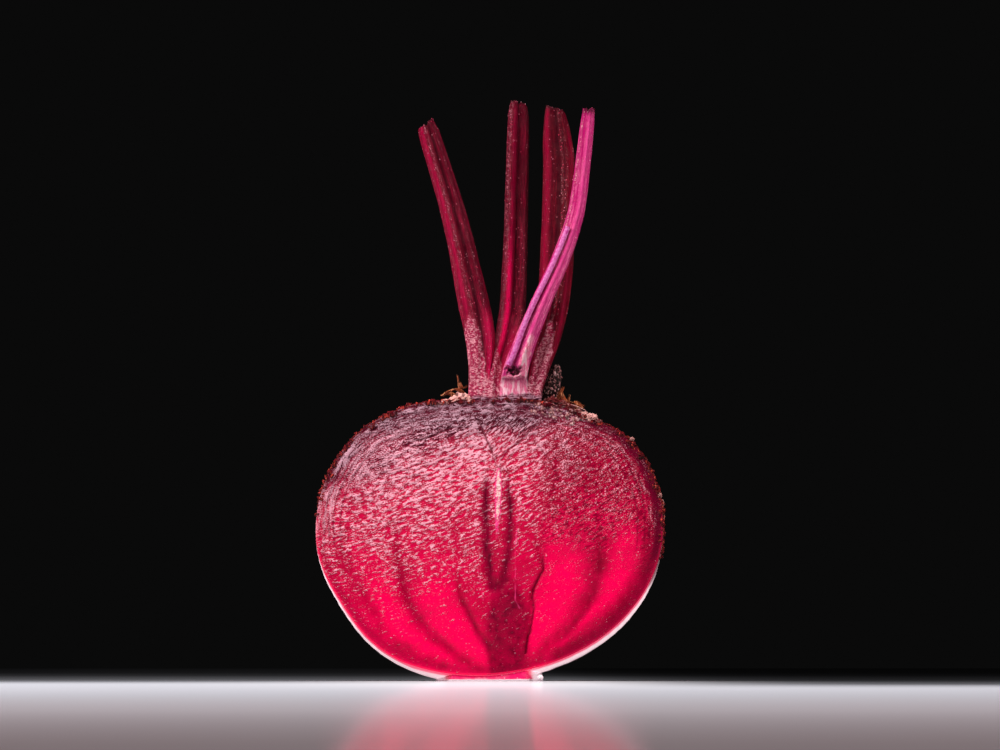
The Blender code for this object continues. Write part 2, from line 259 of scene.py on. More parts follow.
def sheet_faces(rows: int, columns: int) -> tuple[Points, Points]:
    """Joins rows of corners into a sheet.

    Args:
        rows: Number of rows.
        columns: Corners in each row.

    Returns:
        Quads, and the corner numbers round the border.
    """
    number = np.arange(rows * columns).reshape(rows, columns)
    quads = np.stack([number[:-1, :-1], number[:-1, 1:], number[1:, 1:], number[1:, :-1]], -1).reshape(-1, 4)
    border = np.concatenate([number[0, :-1], number[:-1, -1], number[-1, :0:-1], number[:0:-1, 0]])
    return quads, border


def ball(around: int, rings: int) -> tuple[Points, Faces]:
    """Makes a closed ball of radius 1.

    Args:
        around: Corners in each ring.
        rings: Number of rings.

    Returns:
        Corner places and outward faces.
    """
    angle = np.linspace(0.0, TURN, around, endpoint=False)[None, :]
    tilt = np.linspace(-math.pi / 2, math.pi / 2, rings + 2)[1:-1, None]
    way = np.stack(
        np.broadcast_arrays(np.cos(tilt) * np.cos(angle), np.cos(tilt) * np.sin(angle), np.sin(tilt)), -1
    )
    return (
        np.concatenate([way.reshape(-1, 3), [[0.0, 0.0, -1.0], [0.0, 0.0, 1.0]]]), tube_faces(rings, around)
    )


def frames_along(steps: Points, turn: float, rise: float = 0.0) -> tuple[Points, Points, Points]:
    """Lays three directions at right angles along a line.

    Args:
        steps: Direction of the line at each station, of any length.
        turn: Angle of the sideways direction from the x axis.
        rise: Upward part of the sideways direction.

    Returns:
        Unit directions along the line, sideways and through.
    """
    along = steps / np.linalg.norm(steps, axis=1)[:, None]
    side = np.array([math.cos(turn), math.sin(turn), rise]) * np.ones((len(along), 1))
    side -= along * (along * side).sum(1)[:, None]
    side /= np.linalg.norm(side, axis=1)[:, None]
    return along, side, np.cross(along, side)


def join_parts(name: str, parts: Sequence[tuple[Points, Faces, Points]], finish: Material) -> Piece:
    """Joins separate closed bodies into one piece.

    Args:
        name: Name of the piece.
        parts: Corner places, faces and tones of each body.
        finish: Material of the piece.

    Returns:
        The piece.
    """
    faces, total = [], 0
    for corners, sides, _ in parts:
        faces += [[corner + total for corner in side] for side in sides]
        total += len(corners)
    points, tones = (np.concatenate([part[k] for part in parts]) for k in (0, 2))
    return add_piece(name, points, faces, (finish,), marks={"tone": tones})


def add_piece(
    name: str,
    points: Points,
    faces: Sequence[Sequence[int]],
    materials: Sequence[Material],
    face_material: Optional[Points] = None,
    marks: Optional[dict[str, Points]] = None,
) -> Piece:
    """Makes a mesh object with its place in its mesh.

    Args:
        name: Name of the piece.
        points: Corner places in millimetres, one row each.
        faces: Corner numbers of each face, outward.
        materials: Materials of the piece.
        face_material: Material number of each face.
        marks: Values stored on each corner, by name.

    Returns:
        The new object.
    """
    mesh = bpy.data.meshes.new(name)
    mesh.from_pydata((np.asarray(points) * MM).tolist(), [], [list(map(int, f)) for f in faces])
    for material in materials:
        mesh.materials.append(material)
    if face_material is not None:
        mesh.polygons.foreach_set("material_index", np.asarray(face_material, np.int32))
    mesh.polygons.foreach_set("use_smooth", np.ones(len(mesh.polygons), bool))
    for mark, values in (marks or {}).items():
        values = np.asarray(values, np.float32)
        kind, key = ("FLOAT_VECTOR", "vector") if values.ndim == 2 else ("FLOAT", "value")
        layer = mesh.attributes.new(mark, kind, "POINT")
        layer.data.foreach_set(key, values.ravel())
    mesh.update()
    return place_object(name, mesh)


def hold(piece: Piece, stands_for: str = "") -> None:
    """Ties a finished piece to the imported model.

    Args:
        piece: The finished piece.
        stands_for: Solid that it replaces, if any.
    """
    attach(piece, BODY)
    if stands_for:
        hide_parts(stands_for)
    LOG.info("%s: %d faces", piece.name, len(piece.data.polygons))


class Wiring:
    """Places and joins the nodes of one tree."""

    def __init__(self, tree: Tree) -> None:
        """Keeps the tree.

        Args:
            tree: Node tree that gets the nodes.
        """
        self.tree = tree

    def node(self, kind: str, inputs: Optional[dict] = None, **settings: object) -> Node:
        """Adds one node.

        Args:
            kind: Blender's name of the node.
            inputs: Sockets by name or number, each with a value or with the socket that feeds it.
            settings: Properties of the node.

        Returns:
            The new node.
        """
        made = self.tree.nodes.new(kind)
        for key, value in settings.items():
            setattr(made, key, value)
        for key, value in (inputs or {}).items():
            self.feed(value, made.inputs[key])
        return made

    def feed(self, value: Source, socket: Socket) -> None:
        """Joins or sets one input.

        Args:
            value: Fixed value, or the socket that feeds the input.
            socket: The input.
        """
        if isinstance(value, Socket):
            self.tree.links.new(value, socket)
        elif isinstance(value, tuple) and len(value) == 3 and socket.type == "RGBA":
            socket.default_value = (*value, 1.0)
        else:
            socket.default_value = value

    def math(self, operation: str, first: Source, second: Source = 0.0, clamp: bool = False) -> Socket:
        """Calculates with one or two numbers."""
        made = self.node("ShaderNodeMath", {0: first, 1: second}, operation=operation, use_clamp=clamp)
        return made.outputs[0]

    def times(self, first: Source, second: Source, clamp: bool = False) -> Socket:
        """Multiplies two numbers."""
        return self.math("MULTIPLY", first, second, clamp)

    def plus(self, first: Source, second: Source, clamp: bool = False) -> Socket:
        """Adds two numbers."""
        return self.math("ADD", first, second, clamp)

    def minus(self, first: Source, second: Source, clamp: bool = False) -> Socket:
        """Takes the second number from the first."""
        return self.math("SUBTRACT", first, second, clamp)

    def swing(self, noise: Source, share: Source) -> Socket:
        """Centres a noise on zero and scales it."""
        return self.times(self.minus(noise, 0.5), share)

    def mix(self, share: Source, first: Source, second: Source) -> Socket:
        """Blends two colours by a share."""
        sockets = {0: share, 6: first, 7: second}
        return self.node("ShaderNodeMix", sockets, data_type="RGBA", clamp_factor=True).outputs[2]

    def blend(self, share: Source, first: Source, second: Source) -> Socket:
        """Blends two numbers by a share."""
        sockets = {0: share, 2: first, 3: second}
        return self.node("ShaderNodeMix", sockets, data_type="FLOAT", clamp_factor=True).outputs[0]

    def ease(self, value: Source, start: float, end: float, low: float = 0.0, high: float = 1.0) -> Socket:
        """Eases a number from low to high between start and end."""
        sockets = {0: value, 1: start, 2: end, 3: low, 4: high}
        return self.node("ShaderNodeMapRange", sockets, interpolation_type="SMOOTHSTEP").outputs[0]

    def noise(
        self, vector: Source, scale: Source, detail: float = 3.0, rough: float = 0.55, warp: float = 0.0,
    ) -> Socket:
        """Adds a noise texture and gives its value."""
        sockets = {"Vector": vector, "Scale": scale, "Detail": detail, "Roughness": rough, "Distortion": warp}
        return self.node("ShaderNodeTexNoise", sockets).outputs[0]

    def place(self) -> Socket:
        """Gives Object coordinates, in metres."""
        return self.node("ShaderNodeTexCoord").outputs["Object"]

    def mark(self, name: str) -> Node:
        """Reads a value stored on the mesh."""
        return self.node("ShaderNodeAttribute", attribute_name=name, attribute_type="GEOMETRY")

    def marks(self, name: str) -> list[Socket]:
        """Reads three values stored together on the mesh."""
        return list(self.node("ShaderNodeSeparateXYZ", {0: self.mark(name).outputs["Vector"]}).outputs)

    def stretch(self, vector: Source, factors: Place) -> Socket:
        """Stretches coordinates by a factor on each axis."""
        return self.node("ShaderNodeVectorMath", {0: vector, 1: factors}, operation="MULTIPLY").outputs[0]

    def bump(self, height: Source, distance: float, strength: float) -> Socket:
        """Turns a height into a shading normal."""
        return self.node(
            "ShaderNodeBump", {"Height": height, "Distance": distance, "Strength": strength}
        ).outputs[0]

    def group(self, group: Tree, inputs: dict) -> Node:
        """Places a shared effect."""
        return self.node("ShaderNodeGroup", inputs, node_tree=group)


class Effects:
    """Shader effects that several finishes share, each built once."""

    def __init__(self) -> None:
        """Builds every shared effect."""
        self.specks = self.build_specks()
        self.fibres = self.build_fibres()
        self.bloom = self.build_bloom()

    @staticmethod
    def start(name: str, inputs: dict, outputs: Sequence[str]) -> tuple[Wiring, Node, Node]:
        """Opens an empty shared effect.

        Args:
            name: Name of the effect.
            inputs: First value of each number, and the socket type of each other input, by name.
            outputs: Name of each output. Color is a colour, and the rest are numbers.

        Returns:
            The wiring, the input node and the output node.
        """
        group = bpy.data.node_groups.new(name, "ShaderNodeTree")
        for label, first in inputs.items():
            kind = first if isinstance(first, str) else "NodeSocketFloat"
            socket = group.interface.new_socket(label, in_out="INPUT", socket_type=kind)
            if socket.socket_type == "NodeSocketFloat":
                socket.default_value = first
        for label in outputs:
            kind = "NodeSocketColor" if label == "Color" else "NodeSocketFloat"
            group.interface.new_socket(label, in_out="OUTPUT", socket_type=kind)
        return Wiring(group), group.nodes.new("NodeGroupInput"), group.nodes.new("NodeGroupOutput")

    def build_specks(self) -> Tree:
        """Builds small round grains of dried juice.

        Returns:
            The effect, with outputs Mask and Height.
        """
        inputs = {"Vector": "NodeSocketVector", "Scale": 900.0, "Size": 0.3, "Cover": 0.4}
        w, source, result = self.start("dried_specks", inputs, ("Mask", "Height"))
        vector, scale = source.outputs["Vector"], source.outputs["Scale"]
        cell = w.node("ShaderNodeTexVoronoi", {"Vector": vector, "Scale": scale})
        picked = w.node("ShaderNodeSeparateXYZ", {0: cell.outputs["Color"]}).outputs[0]
        kept = w.math("LESS_THAN", picked, source.outputs["Cover"])
        inner = w.minus(1.0, w.math("DIVIDE", cell.outputs["Distance"], source.outputs["Size"]), clamp=True)
        dome = w.times(inner, kept)
        w.feed(w.ease(dome, 0.05, 0.45), result.inputs["Mask"])
        w.feed(dome, result.inputs["Height"])
        return w.tree

    def build_fibres(self) -> Tree:
        """Builds fine lengthwise fibres.

        Returns:
            The effect, with outputs Mask and Height.
        """
        inputs = {"Vector": "NodeSocketVector", "Scale": 2.0, "Break": 0.5}
        w, source, result = self.start("lengthwise_fibres", inputs, ("Mask", "Height"))
        vector, scale = source.outputs["Vector"], source.outputs["Scale"]
        lines = w.noise(w.stretch(vector, (1.0, 1.0, 0.06)), scale, 4.0, 0.6)
        broken = w.noise(w.stretch(vector, (1.0, 1.0, 0.5)), scale, 3.0, 0.6)
        both = w.plus(lines, w.times(w.minus(broken, 0.5), source.outputs["Break"]))
        w.feed(w.ease(both, 0.42, 0.64), result.inputs["Mask"])
        w.feed(both, result.inputs["Height"])
        return w.tree

    def build_bloom(self) -> Tree:
        """Builds a patchy dry film that lightens a colour.

        Returns:
            The effect, with outputs Color and Mask.
        """
        inputs = {"Vector": "NodeSocketVector", "Scale": 300.0, "Amount": 0.5}
        inputs |= {"Base": "NodeSocketColor", "Film": "NodeSocketColor"}
        w, source, result = self.start("dry_bloom", inputs, ("Color", "Mask"))
        patch = w.noise(source.outputs["Vector"], source.outputs["Scale"], 6.0, 0.68, 0.4)
        mask = w.times(w.ease(patch, 0.40, 0.66), source.outputs["Amount"], clamp=True)
        w.feed(w.mix(mask, source.outputs["Base"], source.outputs["Film"]), result.inputs["Color"])
        w.feed(mask, result.inputs["Mask"])
        return w.tree


class Finish:
    """A procedural finish. Each kind says what feeds the surface shader, and this class wires it."""

    name: str

    def paint(self, w: Wiring, effects: Effects) -> dict:
        """Makes the nodes of the finish.

        Args:
            w: Wiring of the material.
            effects: Shared effects.

        Returns:
            Sockets and plain values by the shader input that they feed.
        """
        raise NotImplementedError

    def build(self, effects: Effects) -> Material:
        """Makes the material.

        Args:
            effects: Shared effects.

        Returns:
            The material.
        """
        material = bpy.data.materials.new(self.name)
        material.use_nodes = True
        material.node_tree.nodes.clear()
        w = Wiring(material.node_tree)
        shader = w.node("ShaderNodeBsdfPrincipled")
        w.node("ShaderNodeOutputMaterial", {"Surface": shader.outputs[0]})
        for label, value in self.paint(w, effects).items():
            w.feed(value, shader.inputs[label])
        return material


@dataclass(frozen=True)
class FleshFinish(Finish):
    """Wet cut flesh with growth rings, shrivelled plates and specks of dried juice, with painted light: a
    painted glow of light through the lower flesh, painted highlights on crests and specks, and painted shade
    in troughs, creases and grooves.
    """

    name: str = "cut_flesh"
    fold_gain: float = 4.4
    crest_gain: float = 0.75
    grain_gain: float = 2.9
    gully_shade_share: float = 0.75
    crimson: Colour = (0.63, 0.001, 0.052)
    bruise: Colour = (0.49, 0.001, 0.036)
    ring: Colour = (0.31, 0.0, 0.020)
    # painted glow: the colour of table light shining through the flesh
    painted_glow: Colour = (0.97, 0.0, 0.078)
    core: Colour = (0.26, 0.0, 0.022)
    core_spot: Colour = (0.12, 0.0, 0.012)
    grey_trough: Colour = (0.13, 0.011, 0.028)
    # crest colours: the dried crests' own pale tone, and a painted highlight on them
    pink_crest_and_glint: Colour = (0.90, 0.36, 0.45)
    grey_crest_and_sheen: Colour = (0.58, 0.31, 0.38)
    slit: Colour = (0.98, 0.56, 0.53)
    slit_edge: Colour = (0.95, 0.05, 0.22)
    dark: Colour = (0.115, 0.001, 0.014)
    # painted shade colours of the fold troughs and of the deepest creases
    gully_shade: Colour = (0.16, 0.0, 0.014)
    crevice_shade: Colour = (0.045, 0.002, 0.009)
    # painted glint colour of the wet specks
    speck: Colour = (0.86, 0.26, 0.36)
    edge_line: Colour = (0.95, 0.012, 0.085)

    def paint(self, w: Wiring, effects: Effects) -> dict:
        """Makes the nodes of the finish.

        Args:
            w: Wiring of the material.
            effects: Shared effects.

        Returns:
            What feeds each shader input.
        """
        feeds = {}
        place = w.place()
        painted_glow, ring, grey = w.marks("zones")
        slit, dark, edge = w.marks("lines")
        crest, pale, core = w.marks("relief")
        mottle = w.noise(place, 260.0, 5.0, 0.62)
        flow = w.mark("flow").outputs["Vector"]
        round_rim = w.mark("rim_flow").outputs["Vector"]
        rim_share = w.marks("rim_flow")[2]
        fine_share = w.marks("flow")[2]
        grain = w.noise(w.stretch(flow, (0.75, 1.0, 0.0)), 3.6, 1.0, 0.5)
        fold = w.noise(w.stretch(flow, (0.38, 1.0, 0.0)), 1.9, 1.5, 0.5, 0.25)
        rim_fold = w.noise(w.stretch(round_rim, (0.28, 1.0, 0.0)), 1.9, 2.0, 0.55, 0.7)
        colour = w.mix(w.ease(mottle, 0.35, 0.7), self.crimson, self.bruise)
        # painted glow: bright crimson where light from the table below shines through the lower flesh
        colour = w.mix(w.times(painted_glow, w.ease(grain, 0.2, 0.6, 0.85, 1.0)), colour, self.painted_glow)
        colour = w.mix(w.times(ring, w.ease(mottle, 0.25, 0.6, 0.7, 1.0)), colour, self.ring)
        core_colour = w.mix(w.ease(w.noise(place, 620.0, 4.0, 0.65), 0.48, 0.66), self.core, self.core_spot)
        colour = w.mix(core, colour, core_colour)
        # grey: a dry film on the upper left and at the crown, which also stands for a painted sheen of light
        # there
        colour = w.mix(grey, colour, self.grey_trough)
        folds = w.minus(w.blend(rim_share, fold, rim_fold), 0.5)
        # painted shade in the troughs between folds, kept out of the painted glow
        gully_shade = w.times(w.ease(folds, 0.01, -0.09), w.times(fine_share, self.gully_shade_share))
        gully_shade = w.times(gully_shade, w.ease(w.plus(painted_glow, w.times(pale, -1.0)), 0.90, 0.25))
        colour = w.mix(gully_shade, colour, self.gully_shade)
        level = w.plus(
            pale, w.times(folds, w.blend(rim_share, w.blend(fine_share, self.fold_gain, 0.9), 2.2))
        )
        level = w.plus(level, w.swing(crest, self.crest_gain))
        level = w.plus(level, w.times(w.minus(grain, 0.5), w.blend(fine_share, self.grain_gain, 3.4)))
        # thin creases: painted shade lines in the grey zone
        crease_shade = w.noise(w.stretch(flow, (0.30, 1.0, 0.0)), 0.95, 2.0, 0.6, 0.5)
        crease_shade = w.ease(w.math("ABSOLUTE", w.minus(crease_shade, 0.5)), 0.042, 0.014)
        crease_shade = w.times(crease_shade, w.ease(grey, 0.28, 0.62))
        crease_shade = w.times(crease_shade, w.ease(rim_share, 0.75, 0.62))
        level = w.minus(level, w.times(crease_shade, 0.9), clamp=True)
        # pale crests: the dried crests' own colour, and a painted highlight where light catches them
        crest_and_glint_mask = w.math("POWER", level, 1.6)
        crest_colour = w.mix(grey, self.pink_crest_and_glint, self.grey_crest_and_sheen)
        colour = w.mix(crest_and_glint_mask, colour, crest_colour)
        # painted shade, near black, deep in the folds and creases
        crevice_shade = w.times(w.ease(folds, -0.07, -0.13), w.ease(grey, 0.5, 0.85), clamp=True)
        crevice_shade = w.math("MAXIMUM", crevice_shade, w.times(crease_shade, 0.85))
        colour = w.mix(crevice_shade, colour, self.crevice_shade)
        # pale specks: grains on the flesh whose pale colour is a painted glint
        spread = w.stretch(flow, (0.72, 1.0, 0.0))
        specks = w.group(effects.specks, {"Vector": spread, "Scale": 1.5, "Size": 0.31, "Cover": 0.6})
        glint_specks = w.times(specks.outputs["Mask"], w.mark("speck_share").outputs["Fac"], clamp=True)
        colour = w.mix(glint_specks, colour, self.speck)
        # dark: dark bands of tissue, rim lines, the fringe and the right rim, and painted shade in the
        # grooves
        shown = w.times(dark, w.minus(1.0, w.times(crest_and_glint_mask, 0.30)))
        colour = w.mix(shown, colour, self.dark)
        frayed = w.plus(slit, w.swing(grain, 0.5))
        colour = w.mix(w.ease(slit, 0.05, 0.45), colour, self.slit_edge)
        colour = w.mix(w.ease(frayed, 0.50, 0.88), colour, self.slit)
        colour = w.mix(edge, colour, self.edge_line)
        feeds["Base Color"] = colour
        rough = w.plus(w.blend(grey, 0.32, 0.50), w.swing(grain, 0.25))
        feeds["Roughness"] = w.plus(rough, w.times(crest_and_glint_mask, 0.06), clamp=True)
        height = w.plus(w.times(grain, 0.35), w.times(specks.outputs["Height"], 0.4))
        height = w.plus(height, level)
        feeds["Normal"] = w.bump(height, 0.00018, 0.8)
        feeds["Specular IOR Level"] = 0.12
        return feeds


@dataclass(frozen=True)
class SkinFinish(Finish):
    """Root skin: dull maroon round the back, corky towards the crown, and low at the rim a pale, smooth band
    that is painted light from the table below, with an emission glow.
    """

    name: str = "root_skin"
    maroon: Colour = (0.060, 0.007, 0.012)
    rose: Colour = (0.20, 0.018, 0.034)
    cork: Colour = (0.26, 0.060, 0.034)
    soil: Colour = (0.13, 0.062, 0.045)
    # painted light: pale colour and glow of the skin low at the rim, where the table below lights it
    underlit_rim: Colour = (0.90, 0.60, 0.67)
    underlit_rim_glow: float = 0.62
    band_tint: Colour = (0.115, 0.020, 0.024)
    cork_light: Colour = (0.46, 0.15, 0.09)
    scar_tint: Colour = (0.045, 0.012, 0.012)
    underlit_rim_pale: Colour = (0.94, 0.70, 0.75)
    edge_glow_tint: Colour = (0.90, 0.020, 0.12)
    underlit_rim_emission: Colour = (1.0, 0.76, 0.81)
    lit_edge_glow: Colour = (0.82, 0.03, 0.13)
    speck: Colour = (0.60, 0.44, 0.40)

    def paint(self, w: Wiring, effects: Effects) -> dict:
        """Makes the nodes of the finish.

        Args:
            w: Wiring of the material.
            effects: Shared effects.

        Returns:
            What feeds each shader input.
        """
        feeds = {}
        place = w.place()
        underlit_rim, cork, scar = w.marks("skin")
        broad = w.noise(place, 55.0, 4.0, 0.6)
        bands = w.noise(w.stretch(place, (0.35, 0.35, 1.6)), 420.0, 5.0, 0.62, 0.3)
        fine = w.noise(place, 1500.0, 4.0, 0.65)
        colour = w.mix(w.ease(broad, 0.35, 0.65), self.maroon, self.rose)
        colour = w.mix(w.times(w.ease(bands, 0.45, 0.62), 0.55), colour, self.band_tint)
        film = w.group(
            effects.bloom,
            {"Vector": place, "Scale": 210.0, "Amount": 0.45, "Base": colour, "Film": self.soil}
        )
        colour = film.outputs["Color"]
        flecks = w.noise(w.stretch(place, (1.0, 1.0, 1.5)), 760.0, 5.0, 0.7, 0.6)
        fleck_mask = w.times(w.ease(flecks, 0.50, 0.60), cork)
        colour = w.mix(fleck_mask, colour, w.mix(w.ease(fine, 0.35, 0.6), self.cork, self.cork_light))
        colour = w.mix(w.times(scar, 0.85), colour, self.scar_tint)
        # painted light: the pale band low at the rim is the skin lit from the table below, with an emission
        # glow
        pink = w.mix(w.ease(w.noise(place, 300.0, 4.0), 0.35, 0.7), self.underlit_rim, self.underlit_rim_pale)
        # painted glow: hot pink light through the skin close to the cut edge
        blush = w.mark("blush").outputs["Fac"]
        pink = w.mix(w.times(blush, 0.7), pink, self.edge_glow_tint)
        colour = w.mix(underlit_rim, colour, pink)
        lit = w.mix(blush, self.underlit_rim_emission, self.lit_edge_glow)
        feeds["Emission Color"] = w.mix(w.ease(underlit_rim, 0.45, 1.0), BLACK, lit)
        feeds["Emission Strength"] = self.underlit_rim_glow
        specks = w.group(effects.specks, {"Vector": place, "Scale": 1500.0, "Size": 0.30, "Cover": 0.10})
        colour = w.mix(w.times(specks.outputs["Mask"], 0.5), colour, self.speck)
        feeds["Base Color"] = colour
        rough = w.blend(underlit_rim, w.ease(bands, 0.3, 0.7, 0.48, 0.74), 0.34)
        feeds["Roughness"] = rough
        height = w.plus(bands, w.times(fine, 0.35))
        height = w.plus(height, w.times(fleck_mask, 0.7))
        height = w.times(height, w.minus(1.0, w.times(underlit_rim, 0.85)))
        feeds["Normal"] = w.bump(height, 0.00032, 0.8)
        feeds["Specular IOR Level"] = 0.4
        return feeds


@dataclass(frozen=True)
class StalkFinish(Finish):
    """Smooth striped leaf stalk with a sliced foot and a dried tip."""

    name: str
    body: Colour
    stripe: Colour
    shade: Colour
    frost: Colour = (0.33, 0.11, 0.13)
    bright: Colour = (0.44, 0.002, 0.060)
    sliced: Colour = (0.86, 0.34, 0.40)
    sliced_trough: Colour = (0.42, 0.003, 0.058)
    dried: Colour = (0.035, 0.006, 0.009)
    net_length: float = 1.8
    veil: float = 0.95
    worn: float = 0.04

    def paint(self, w: Wiring, effects: Effects) -> dict:
        """Makes the nodes of the finish.

        Args:
            w: Wiring of the material.
            effects: Shared effects.

        Returns:
            What feeds each shader input.
        """
        feeds = {}
        grain = w.mark("grain").outputs["Vector"]
        place = w.place()
        frost, dark, bright = w.marks("streaks")
        cut, dry, shade = w.marks("ends")
        lines = w.group(effects.fibres, {"Vector": grain, "Scale": 2.6, "Break": 0.35})
        fine = w.group(effects.fibres, {"Vector": grain, "Scale": 6.5, "Break": 0.6})
        spots = w.noise(place, 1500.0, 4.0, 0.65)
        colour = w.mix(lines.outputs["Mask"], self.body, self.stripe)
        colour = w.mix(w.times(fine.outputs["Mask"], 0.7), colour, self.shade)
        colour = w.mix(shade, colour, w.mix(0.45, self.shade, self.body))
        colour = w.mix(dark, colour, self.shade)
        colour = w.mix(w.times(bright, w.ease(fine.outputs["Height"], 0.22, 0.52)), colour, self.bright)
        beads = w.group(effects.specks, {"Vector": place, "Scale": 2300.0, "Size": 0.42, "Cover": 0.75})
        crust = w.plus(beads.outputs["Mask"], w.ease(spots, 0.48, 0.66, 0.0, 0.6))
        frosted = w.times(frost, crust, clamp=True)
        colour = w.mix(frosted, colour, self.frost)
        film = w.group(
            effects.bloom,
            {"Vector": place, "Scale": 520.0, "Amount": self.worn, "Base": colour, "Film": self.frost}
        )
        colour = film.outputs["Color"]
        net = w.noise(w.stretch(place, (1.0, 1.0, self.net_length)), 1250.0, 2.0, 0.55, 0.5)
        net = w.ease(w.math("ABSOLUTE", w.minus(net, 0.5)), 0.060, 0.02)
        veil = w.noise(w.stretch(place, (1.0, 1.0, self.net_length)), 1700.0, 2.0, 0.55)
        veil = w.plus(veil, w.times(w.minus(w.noise(place, 300.0, 2.0), 0.5), 0.22))
        veil = w.ease(veil, 0.49, 0.56, 0.0, self.veil)
        cut_colour = w.mix(w.math("MAXIMUM", w.times(net, 0.25), veil), self.sliced_trough, self.sliced)
        colour = w.mix(cut, colour, cut_colour)
        above = w.node("ShaderNodeSeparateXYZ", {"Vector": place}).outputs["Z"]
        above = w.plus(above, w.times(w.minus(w.noise(place, 420.0, 3.0), 0.5), 0.006))
        crumpled = w.mix(
            w.ease(w.noise(w.stretch(place, (0.5, 1.0, 2.0)), 1300.0, 2.0), 0.44, 0.56), (0.09, 0.004, 0.020),
            (0.52, 0.24, 0.31)
        )
        colour = w.mix(w.ease(above, 0.0618, 0.0603), colour, crumpled)
        colour = w.mix(w.times(dry, w.ease(spots, 0.28, 0.5)), colour, self.dried)
        dots = w.group(effects.specks, {"Vector": place, "Scale": 1700.0, "Size": 0.30, "Cover": 0.10})
        colour = w.mix(w.times(dots.outputs["Mask"], 0.55), colour, (0.66, 0.24, 0.28))
        feeds["Base Color"] = colour
        rough = w.plus(0.30, w.times(frosted, 0.3))
        rough = w.plus(rough, w.times(cut, 0.22))
        rough = w.plus(rough, w.times(dry, 0.3), clamp=True)
        feeds["Roughness"] = rough
        height = w.plus(w.times(lines.outputs["Height"], 1.2), fine.outputs["Height"])
        height = w.plus(height, w.times(spots, 0.5))
        height = w.plus(height, w.times(w.times(net, cut), 1.2))
        feeds["Normal"] = w.bump(height, 0.00024, 0.85)
        feeds["Specular IOR Level"] = 0.13
        return feeds


@dataclass(frozen=True)
class DryFinish(Finish):
    """Dead plant matter: bark, papery scales, corky crumbs."""

    name: str
    dark: Colour
    mid: Colour
    light: Colour
    ash: Colour = (0.42, 0.36, 0.32)
    ash_share: float = 0.3
    scale: float = 700.0
    rough: float = 0.7

    def paint(self, w: Wiring, effects: Effects) -> dict:
        """Makes the nodes of the finish.

        Args:
            w: Wiring of the material.
            effects: Shared effects.

        Returns:
            What feeds each shader input.
        """
        feeds = {}
        place = w.place()
        tone = w.mark("tone").outputs["Fac"]
        rough_noise = w.noise(place, self.scale, 6.0, 0.7, 0.5)
        veins = w.noise(w.stretch(place, (1.0, 1.0, 0.35)), self.scale * 1.6, 4.0, 0.6)
        colour = w.mix(w.ease(w.plus(rough_noise, w.times(tone, 0.35)), 0.42, 0.80), self.dark, self.mid)
        colour = w.mix(w.times(w.ease(veins, 0.52, 0.66), 0.8), colour, self.light)
        film = w.group(
            effects.bloom,
            {
                "Vector": place, "Scale": self.scale * 2.2, "Amount": self.ash_share, "Base": colour,
                "Film": self.ash
            },
        )
        feeds["Base Color"] = film.outputs["Color"]
        feeds["Roughness"] = w.ease(rough_noise, 0.3, 0.7, self.rough - 0.15, self.rough + 0.12)
        height = w.plus(rough_noise, w.times(veins, 0.8))
        feeds["Normal"] = w.bump(height, 0.00035, 0.9)
        feeds["Specular IOR Level"] = 0.35
        return feeds


@dataclass(frozen=True)
class GlossFinish(Finish):
    """Glistening juice, as grains on the flesh, as the wet foot or as a bead."""

    name: str
    deep: Colour
    pale: Colour
    scale: float = 500.0
    rough: float = 0.2
    coat: float = 0.5
    tone_range: tuple[float, float] = (0.25, 1.05)

    def paint(self, w: Wiring, effects: Effects) -> dict:
        """Makes the nodes of the finish.

        Args:
            w: Wiring of the material.
            effects: Shared effects.

        Returns:
            What feeds each shader input.
        """
        feeds = {}
        place = w.place()
        tone = w.plus(w.mark("tone").outputs["Fac"], w.times(w.noise(place, self.scale, 4.0), 0.6))
        colour = w.mix(w.ease(tone, *self.tone_range), self.deep, self.pale)
        specks = w.group(
            effects.specks, {"Vector": place, "Scale": self.scale * 3.0, "Size": 0.3, "Cover": 0.2}
        )
        colour = w.mix(w.times(specks.outputs["Mask"], 0.4), colour, self.pale)
        feeds["Base Color"] = colour
        feeds["Roughness"] = w.ease(
            w.noise(place, self.scale * 2.0, 3.0), 0.3, 0.7, self.rough, self.rough + 0.2
        )
        feeds["Normal"] = w.bump(w.noise(place, self.scale * 2.5, 3.0), 0.00012, 0.6)
        feeds["Coat Weight"] = self.coat
        feeds["Coat Roughness"] = 0.08
        return feeds


def bake_tree(tree: Tree, name: str, base: bpy.types.Mesh, values: dict) -> Piece:
    """Runs a Geometry Nodes tree on a mesh and keeps the result as a plain mesh.

    Args:
        tree: The tree.
        name: Name of the new piece.
        base: Mesh that goes into the tree.
        values: Values of the named inputs.

    Returns:
        The new piece.
    """
    helper = bpy.data.objects.new(name + "_base", base)
    bpy.context.scene.collection.objects.link(helper)
    modifier = helper.modifiers.new("grow", "NODES")
    modifier.node_group = tree
    keys = {item.name: item.identifier for item in tree.interface.items_tree if item.in_out == "INPUT"}
    for label, value in values.items():
        modifier[keys[label]] = value
    graph = bpy.context.evaluated_depsgraph_get()
    mesh = bpy.data.meshes.new_from_object(helper.evaluated_get(graph), depsgraph=graph)
    bpy.data.objects.remove(helper)
    mesh.name = name
    piece = bpy.data.objects.new(name, mesh)
    bpy.context.scene.collection.objects.link(piece)
    return piece


@dataclass(frozen=True)
class Crumbs:
    """One kind of strewn crumbs: where they lie, how thick, how large and how they turn."""

    name: str
    mark: str
    per_square_metre: float
    smallest: float
    largest: float
    stretch: float
    flatness: float
    turn: Place
    seed: int


